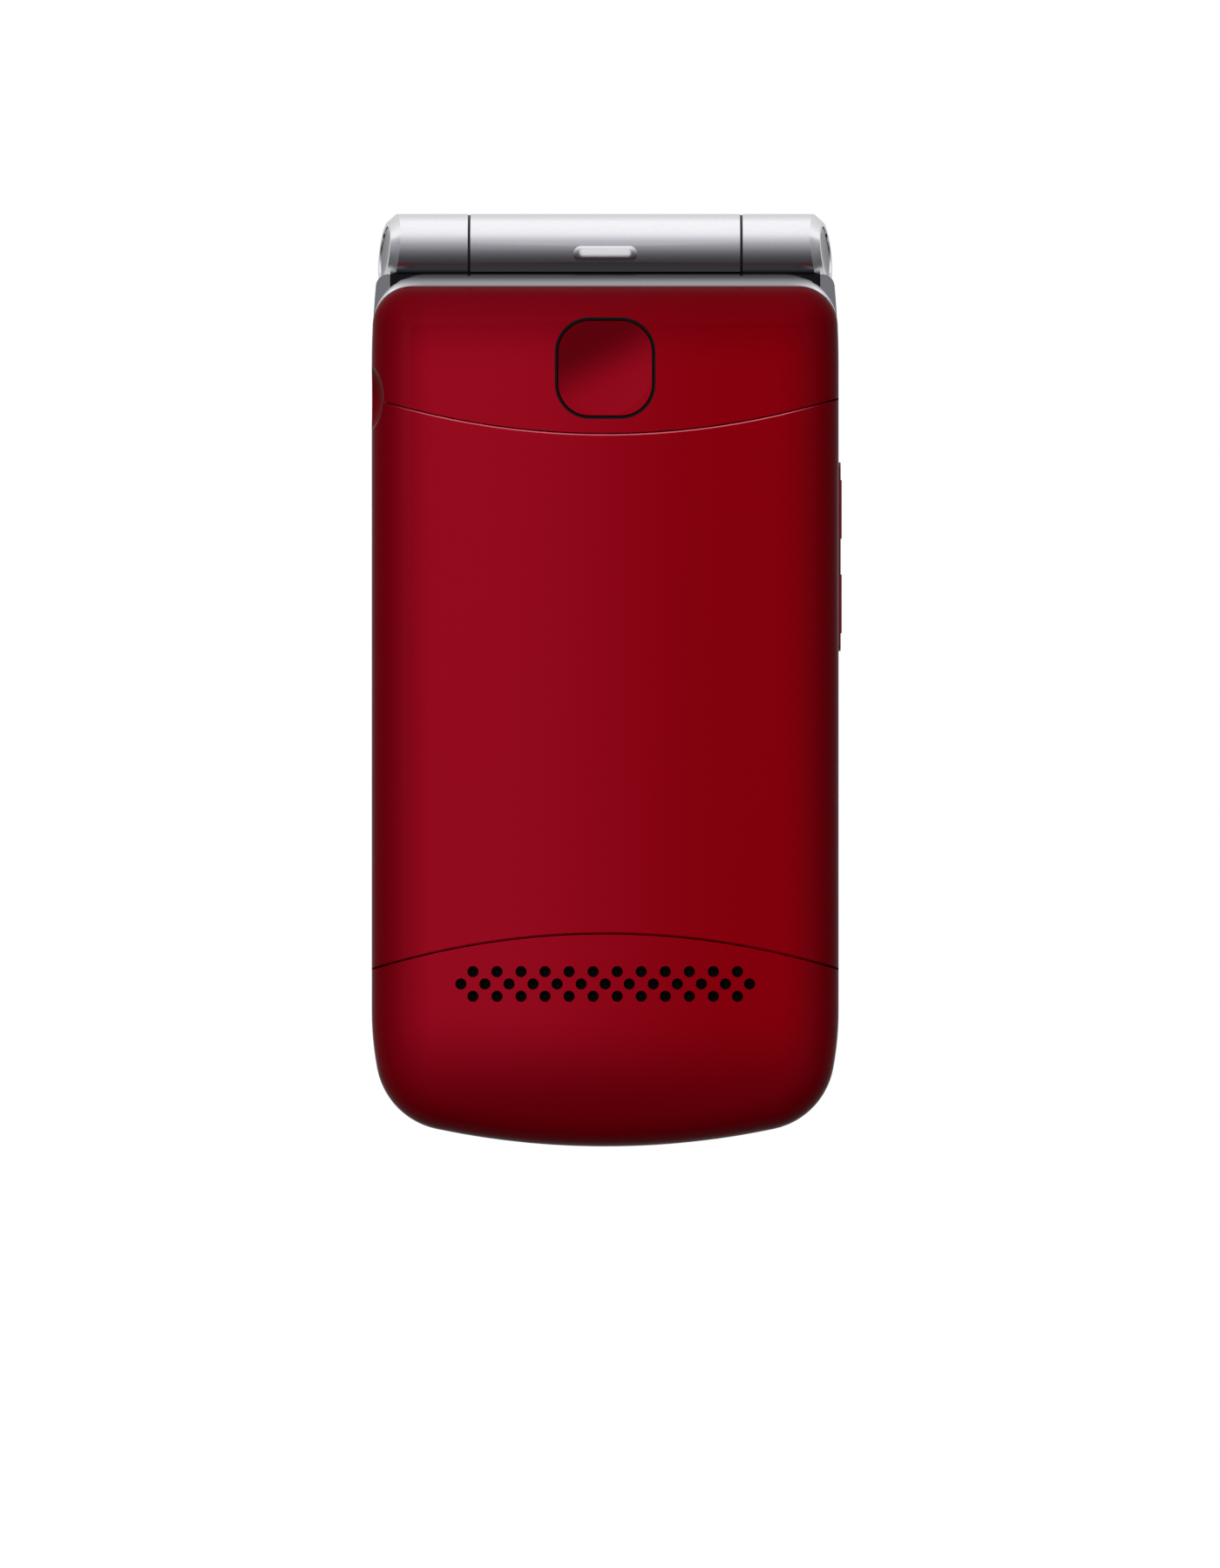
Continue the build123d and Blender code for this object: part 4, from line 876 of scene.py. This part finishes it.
def print_on(mesh, key, across=0.0, along=0.0):
    """Put a print on a key's face, at a distance from the key's middle as read from the front."""
    low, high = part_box(key)
    x = (low.x + high.x) / 2 - across
    y = (low.y + high.y) / 2 + along
    place = Matrix.Translation((x, y, low.z + PRINT_SINK)) @ Matrix.Rotation(math.pi, 4, "Y")
    mesh.transform(place)
    return mesh


def joined(name, meshes):
    """Several meshes as one."""
    shape = bmesh.new()
    for mesh in meshes:
        shape.from_mesh(mesh)
        bpy.data.meshes.remove(mesh)
    whole = bpy.data.meshes.new(name)
    shape.to_mesh(whole)
    shape.free()
    return whole


NUMBER_SIZE = 7.2 * MM
NUMBER_ACROSS = -2.6 * MM
LETTER_SIZE = 3.0 * MM
LETTER_ACROSS = 3.1 * MM
LETTER_ALONG = -0.4 * MM
KEY_LABELS = {
    "key_1": ("1", ""),
    "key_2": ("2", "abc"),
    "key_3": ("3", "def"),
    "key_4": ("4", "ghi"),
    "key_5": ("5", "jkl"),
    "key_6": ("6", "mno"),
    "key_7": ("7", "pqrs"),
    "key_8": ("8", "tuv"),
    "key_9": ("9", "wxyz"),
    "key_star": ("*", ""),
    "key_0": ("0", "+"),
    "key_hash": ("#", ""),
}

for key, (number, letters) in KEY_LABELS.items():
    number_across = NUMBER_ACROSS if letters else 0.0
    prints = [print_on(text_plate(number, NUMBER_SIZE, PRINT_DEPTH), key, number_across)]
    if letters:
        letter_plate = text_plate(letters, LETTER_SIZE, PRINT_DEPTH)
        prints.append(print_on(letter_plate, key, LETTER_ACROSS, LETTER_ALONG))
    finish_piece(joined(key + "_print", prints), key + "_print", key, INK)


# The receiver's bend, half its sweep, and how far its bar and its end blocks reach out and in
HANDSET_BEND = 3.4 * MM
HANDSET_HALF_SWEEP = math.radians(52)
HANDSET_STEPS = 14
BAR_OUT, BAR_IN = 0.42 * MM, 0.42 * MM
BLOCK_OUT, BLOCK_IN = 0.85 * MM, 1.05 * MM
BLOCK_START_SHARE = 0.6
HANDSET_DROP_SHARE = 0.85


def handset_outline(tilt):
    """A telephone receiver as an outline: a bent bar with a wide block at each end."""
    outer = []
    inner = []
    for step in range(HANDSET_STEPS + 1):
        share = step / HANDSET_STEPS
        angle = math.pi / 2 + HANDSET_HALF_SWEEP * (1 - 2 * share)
        in_bar = abs(2 * share - 1) < BLOCK_START_SHARE
        out_radius = HANDSET_BEND + (BAR_OUT if in_bar else BLOCK_OUT)
        in_radius = HANDSET_BEND - (BAR_IN if in_bar else BLOCK_IN)
        outer.append((out_radius * math.cos(angle), out_radius * math.sin(angle)))
        inner.append((in_radius * math.cos(angle), in_radius * math.sin(angle)))
    drop = HANDSET_BEND * HANDSET_DROP_SHARE
    turn = Matrix.Rotation(tilt, 2)
    return [tuple(turn @ Vector((x, y - drop))) for x, y in outer + inner[::-1]]


for key, ink, tilt in (("key_call", GREEN_INK, math.radians(40)), ("key_end", RED_INK, 0.0)):
    plate = outline_plate(key, [handset_outline(tilt)], PRINT_DEPTH)
    finish_piece(print_on(plate, key), key + "_print", key, ink)

# Half the length and half the height of the soft keys' dashes
DASH_X, DASH_Y = 2.2 * MM, 0.35 * MM
for key in ("key_soft_left", "key_soft_right"):
    dash = [(-DASH_X, -DASH_Y), (DASH_X, -DASH_Y), (DASH_X, DASH_Y), (-DASH_X, DASH_Y)]
    plate = outline_plate(key, [dash], PRINT_DEPTH)
    finish_piece(print_on(plate, key), key + "_print", key, INK)

# Four arrowheads round the navigation ring, the two along the phone a little farther out
ARROW_REACHES = (6.9 * MM, 8.9 * MM)
ARROW_LENGTH = 1.0 * MM
ARROW_HALF_WIDTH = 0.95 * MM
arrows = []
for quarter in range(4):
    tip = ARROW_REACHES[quarter % 2]
    turn = Matrix.Rotation(quarter * math.pi / 2, 2)
    tail = tip - ARROW_LENGTH
    head = [(tip, 0.0), (tail, ARROW_HALF_WIDTH), (tail, -ARROW_HALF_WIDTH)]
    arrows.append([tuple(turn @ Vector(point)) for point in head])
arrow_plate = outline_plate("ring_arrows", arrows, PRINT_DEPTH)
finish_piece(
    print_on(arrow_plate, "navigation_ring"), "ring_arrows", "navigation_ring", INK
)


# The hinge's axis and barrel, from the frame
hinge = next(joint for joint in frame["joints"] if joint["name"] == "flip_hinge")
barrel_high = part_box("hinge_barrel")[1]
AXIS_Y, AXIS_Z = hinge["pos_m"][1:]
BARREL_RADIUS = barrel_high.y - AXIS_Y
SEGMENTS = 96
# The gap between the knuckles, the washer's play in it, and its bore and how far it stays below the barrel
KNUCKLE_GAP = 0.3 * MM
WASHER_PLAY = 0.02 * MM
WASHER_BORE_RADIUS = 3.0 * MM
WASHER_SINK = 0.1 * MM


def hinge_washers_and_gap_shade():
    """A black washer in each gap of the hinge, a little below the barrel's surface. Its black is also painted
    shade: it darkens the gap, which would otherwise show the floor through it.
    """
    outer = BARREL_RADIUS - WASHER_SINK
    inner = WASHER_BORE_RADIUS
    shape = bmesh.new()
    for side in (-1, 1):
        near = side * (barrel_high.x + WASHER_PLAY)
        far = side * (barrel_high.x + KNUCKLE_GAP - WASHER_PLAY)
        rings = []
        for x, radius in ((near, inner), (near, outer), (far, outer), (far, inner)):
            ring = []
            for step in range(SEGMENTS):
                angle = 2 * math.pi * step / SEGMENTS
                y = AXIS_Y + radius * math.cos(angle)
                ring.append(shape.verts.new((x, y, AXIS_Z + radius * math.sin(angle))))
            rings.append(ring)
        for index, ring in enumerate(rings):
            following = rings[(index + 1) % len(rings)]
            for step in range(SEGMENTS):
                after = (step + 1) % SEGMENTS
                shape.faces.new((ring[step], ring[after], following[after], following[step]))
    bmesh.ops.recalc_face_normals(shape, faces=list(shape.faces))
    mesh = bpy.data.meshes.new("hinge_washers_and_gap_shade")
    shape.to_mesh(mesh)
    shape.free()
    finish_piece(mesh, "hinge_washers_and_gap_shade", "base", BLACK_ABS)


hinge_washers_and_gap_shade()

# The lamp's slot and the bare core in it, a little off the hinge's axis
LAMP_Y = AXIS_Y - 0.35 * MM
LAMP_HALF_LENGTH = 3.65 * MM
LAMP_HALF_HEIGHT = 0.97 * MM
LAMP_CORE_Y = AXIS_Y - 0.15 * MM
LAMP_CORE_REACH = 2.45 * MM
LAMP_CORE_FADE = (0.62 * MM, 0.1 * MM)
LAMP_SWELLING = 0.17 * MM
LAMP_SUNK = 0.04 * MM
LAMP_SKIRT = 0.25 * MM
LAMP_RINGS = 12
# How soon the swelling reaches its full height, from the rim inwards
LAMP_RISE = 1.6


def lamp_finish():
    """Silver-masked lens: silver round its edge, fading to the bare milky light guide in its middle."""
    material, tree, shader, place = new_surface("silver_masked_lamp_lens")
    split = add_node(tree, "ShaderNodeSeparateXYZ", inputs={0: place})
    reach = add_node(tree, "ShaderNodeMath", {"operation": "ABSOLUTE"}, {0: split.outputs["X"]})
    past = add_node(
        tree, "ShaderNodeMath", {"operation": "SUBTRACT"}, {0: reach.outputs[0], 1: LAMP_CORE_REACH}
    )
    past = add_node(tree, "ShaderNodeMath", {"operation": "MAXIMUM"}, {0: past.outputs[0], 1: 0.0})
    rise = add_node(
        tree, "ShaderNodeMath", {"operation": "SUBTRACT"}, {0: split.outputs["Y"], 1: LAMP_CORE_Y}
    )
    flat = add_node(tree, "ShaderNodeCombineXYZ", inputs={0: past.outputs[0], 1: rise.outputs[0]})
    distance = add_node(tree, "ShaderNodeVectorMath", {"operation": "LENGTH"}, {0: flat.outputs[0]})
    core = add_node(
        tree,
        "ShaderNodeMapRange",
        {"interpolation_type": "SMOOTHSTEP"},
        {
            "Value": distance.outputs["Value"],
            "From Min": LAMP_CORE_FADE[0],
            "From Max": LAMP_CORE_FADE[1],
        },
    )
    metal = add_node(
        tree, "ShaderNodeMath", {"operation": "SUBTRACT"}, {0: 1.0, 1: core.outputs["Result"]}
    )
    colour = add_node(
        tree, "ShaderNodeMix", {"data_type": "RGBA"}, {0: core.outputs["Result"], 6: "f0f0f4", 7: "dcdcde"}
    )
    gloss = add_node(
        tree,
        "ShaderNodeMapRange",
        inputs={"Value": core.outputs["Result"], "To Min": 0.18, "To Max": 0.45},
    )
    tree.links.new(colour.outputs[2], shader.inputs["Base Color"])
    tree.links.new(metal.outputs[0], shader.inputs["Metallic"])
    tree.links.new(gloss.outputs["Result"], shader.inputs["Roughness"])
    return material


def lamp_lens():
    """The lamp's slot-shaped lens: a low smooth swelling on the barrel."""
    straight = LAMP_HALF_LENGTH - LAMP_HALF_HEIGHT
    shape = bmesh.new()
    last = None
    for ring in range(LAMP_RINGS + 1):
        share = ring / LAMP_RINGS
        radius = LAMP_HALF_HEIGHT * (1 - share)
        rise = math.sin(min(share * LAMP_RISE, 1.0) * math.pi / 2)
        height = (LAMP_SWELLING + LAMP_SUNK) * rise - LAMP_SUNK
        points = []
        for step in range(SEGMENTS):
            angle = 2 * math.pi * (step + 0.5) / SEGMENTS
            centre_x = straight if math.cos(angle) > 0 else -straight
            x = centre_x + radius * math.cos(angle)
            y = LAMP_Y - AXIS_Y + radius * math.sin(angle)
            z = math.sqrt(BARREL_RADIUS**2 - y**2) + height
            points.append(shape.verts.new((x, AXIS_Y + y, AXIS_Z + z)))
        if last:
            for step in range(SEGMENTS):
                after = (step + 1) % SEGMENTS
                shape.faces.new((last[step], last[after], points[after], points[step]))
        last = points
    bmesh.ops.remove_doubles(shape, verts=list(shape.verts), dist=0.001 * MM)
    edge = bmesh.ops.extrude_edge_only(shape, edges=[item for item in shape.edges if item.is_boundary])
    rim = [item for item in edge["geom"] if isinstance(item, bmesh.types.BMVert)]
    bmesh.ops.translate(shape, verts=rim, vec=(0, 0, -LAMP_SKIRT))
    boundary = [item for item in shape.edges if item.is_boundary]
    bmesh.ops.contextual_create(shape, geom=boundary)
    bmesh.ops.recalc_face_normals(shape, faces=list(shape.faces))
    mesh = bpy.data.meshes.new("lamp_lens")
    shape.to_mesh(mesh)
    shape.free()
    piece = finish_piece(mesh, "lamp_lens", "lid", lamp_finish(), smooth=True)
    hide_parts("torch_lens")


lamp_lens()


# Rows of small flat contacts
def contact_row_tree():
    """A tree that sets out a row of pads along X from named sizes."""
    tree = bpy.data.node_groups.new("contact_row", "GeometryNodeTree")
    tree.interface.new_socket("Geometry", in_out="OUTPUT", socket_type="NodeSocketGeometry")
    tree.interface.new_socket("Count", in_out="INPUT", socket_type="NodeSocketInt")
    tree.interface.new_socket("Pitch", in_out="INPUT", socket_type="NodeSocketFloat")
    tree.interface.new_socket("Pad Size", in_out="INPUT", socket_type="NodeSocketVector")
    tree.interface.new_socket("First Pad", in_out="INPUT", socket_type="NodeSocketVector")
    tree.interface.new_socket("Finish", in_out="INPUT", socket_type="NodeSocketMaterial")
    given = add_node(tree, "NodeGroupInput")
    step = add_node(tree, "ShaderNodeCombineXYZ", inputs={"X": given.outputs["Pitch"]})
    line = add_node(
        tree,
        "GeometryNodeMeshLine",
        inputs={
            "Count": given.outputs["Count"],
            "Start Location": given.outputs["First Pad"],
            "Offset": step.outputs[0],
        },
    )
    pad = add_node(tree, "GeometryNodeMeshCube", inputs={"Size": given.outputs["Pad Size"]})
    laid = add_node(
        tree,
        "GeometryNodeInstanceOnPoints",
        inputs={"Points": line.outputs["Mesh"], "Instance": pad.outputs["Mesh"]},
    )
    real = add_node(tree, "GeometryNodeRealizeInstances", inputs={"Geometry": laid.outputs["Instances"]})
    coated = add_node(
        tree,
        "GeometryNodeSetMaterial",
        inputs={"Geometry": real.outputs["Geometry"], "Material": given.outputs["Finish"]},
    )
    add_node(tree, "NodeGroupOutput", inputs={0: coated.outputs["Geometry"]})
    return tree


CONTACT_ROW = contact_row_tree()


def contact_row(name, body, material, count, pitch, pad_size, middle):
    """A row of equal pads along X, centred on a point."""
    start = Vector(middle) - Vector(((count - 1) * pitch / 2, 0, 0))
    holder = bpy.data.objects.new(name + "_holder", bpy.data.meshes.new(name))
    bpy.context.scene.collection.objects.link(holder)
    modifier = holder.modifiers.new("row", "NODES")
    modifier.node_group = CONTACT_ROW
    values = {
        "Count": count,
        "Pitch": pitch,
        "Pad Size": pad_size,
        "First Pad": start,
        "Finish": material,
    }
    for socket in CONTACT_ROW.interface.items_tree:
        if socket.in_out == "INPUT":
            modifier[socket.identifier] = values[socket.name]
    mesh = bpy.data.meshes.new_from_object(holder.evaluated_get(bpy.context.evaluated_depsgraph_get()))
    bpy.data.objects.remove(holder)
    finish_piece(mesh, name, body, material)


battery_low, battery_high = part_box("battery")
contact_row(
    "battery_contacts",
    body="battery",
    material=GOLD,
    count=3,
    pitch=2.6 * MM,
    pad_size=(1.5 * MM, 0.1 * MM, 1.8 * MM),
    middle=(0, battery_high.y, (battery_low.z + battery_high.z) / 2),
)

# Two rows in the card holder, just above its floor
CARD_ROW_SHARES = (0.3, 0.7)
CARD_PAD_RISE = 0.65 * MM
card_low, card_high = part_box("sim_card_holder")
for index, share in enumerate(CARD_ROW_SHARES):
    contact_row(
        "card_contacts_%d" % (index + 1),
        body="base",
        material=GOLD,
        count=3,
        pitch=2.54 * MM,
        pad_size=(1.6 * MM, 2.0 * MM, 0.2 * MM),
        middle=(0, card_low.y + share * (card_high.y - card_low.y), card_low.z + CARD_PAD_RISE),
    )

# The row on the socket's tongue, on the keypad's side
PORT_PAD_DEPTH = 2.2 * MM
PORT_PAD_DROP = 0.35 * MM
port_low, port_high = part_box("charging_port")
contact_row(
    "port_contacts",
    body="base",
    material=GOLD,
    count=5,
    pitch=0.65 * MM,
    pad_size=(0.35 * MM, 2.6 * MM, 0.1 * MM),
    middle=(0, port_high.y - PORT_PAD_DEPTH, (port_low.z + port_high.z) / 2 - PORT_PAD_DROP),
)
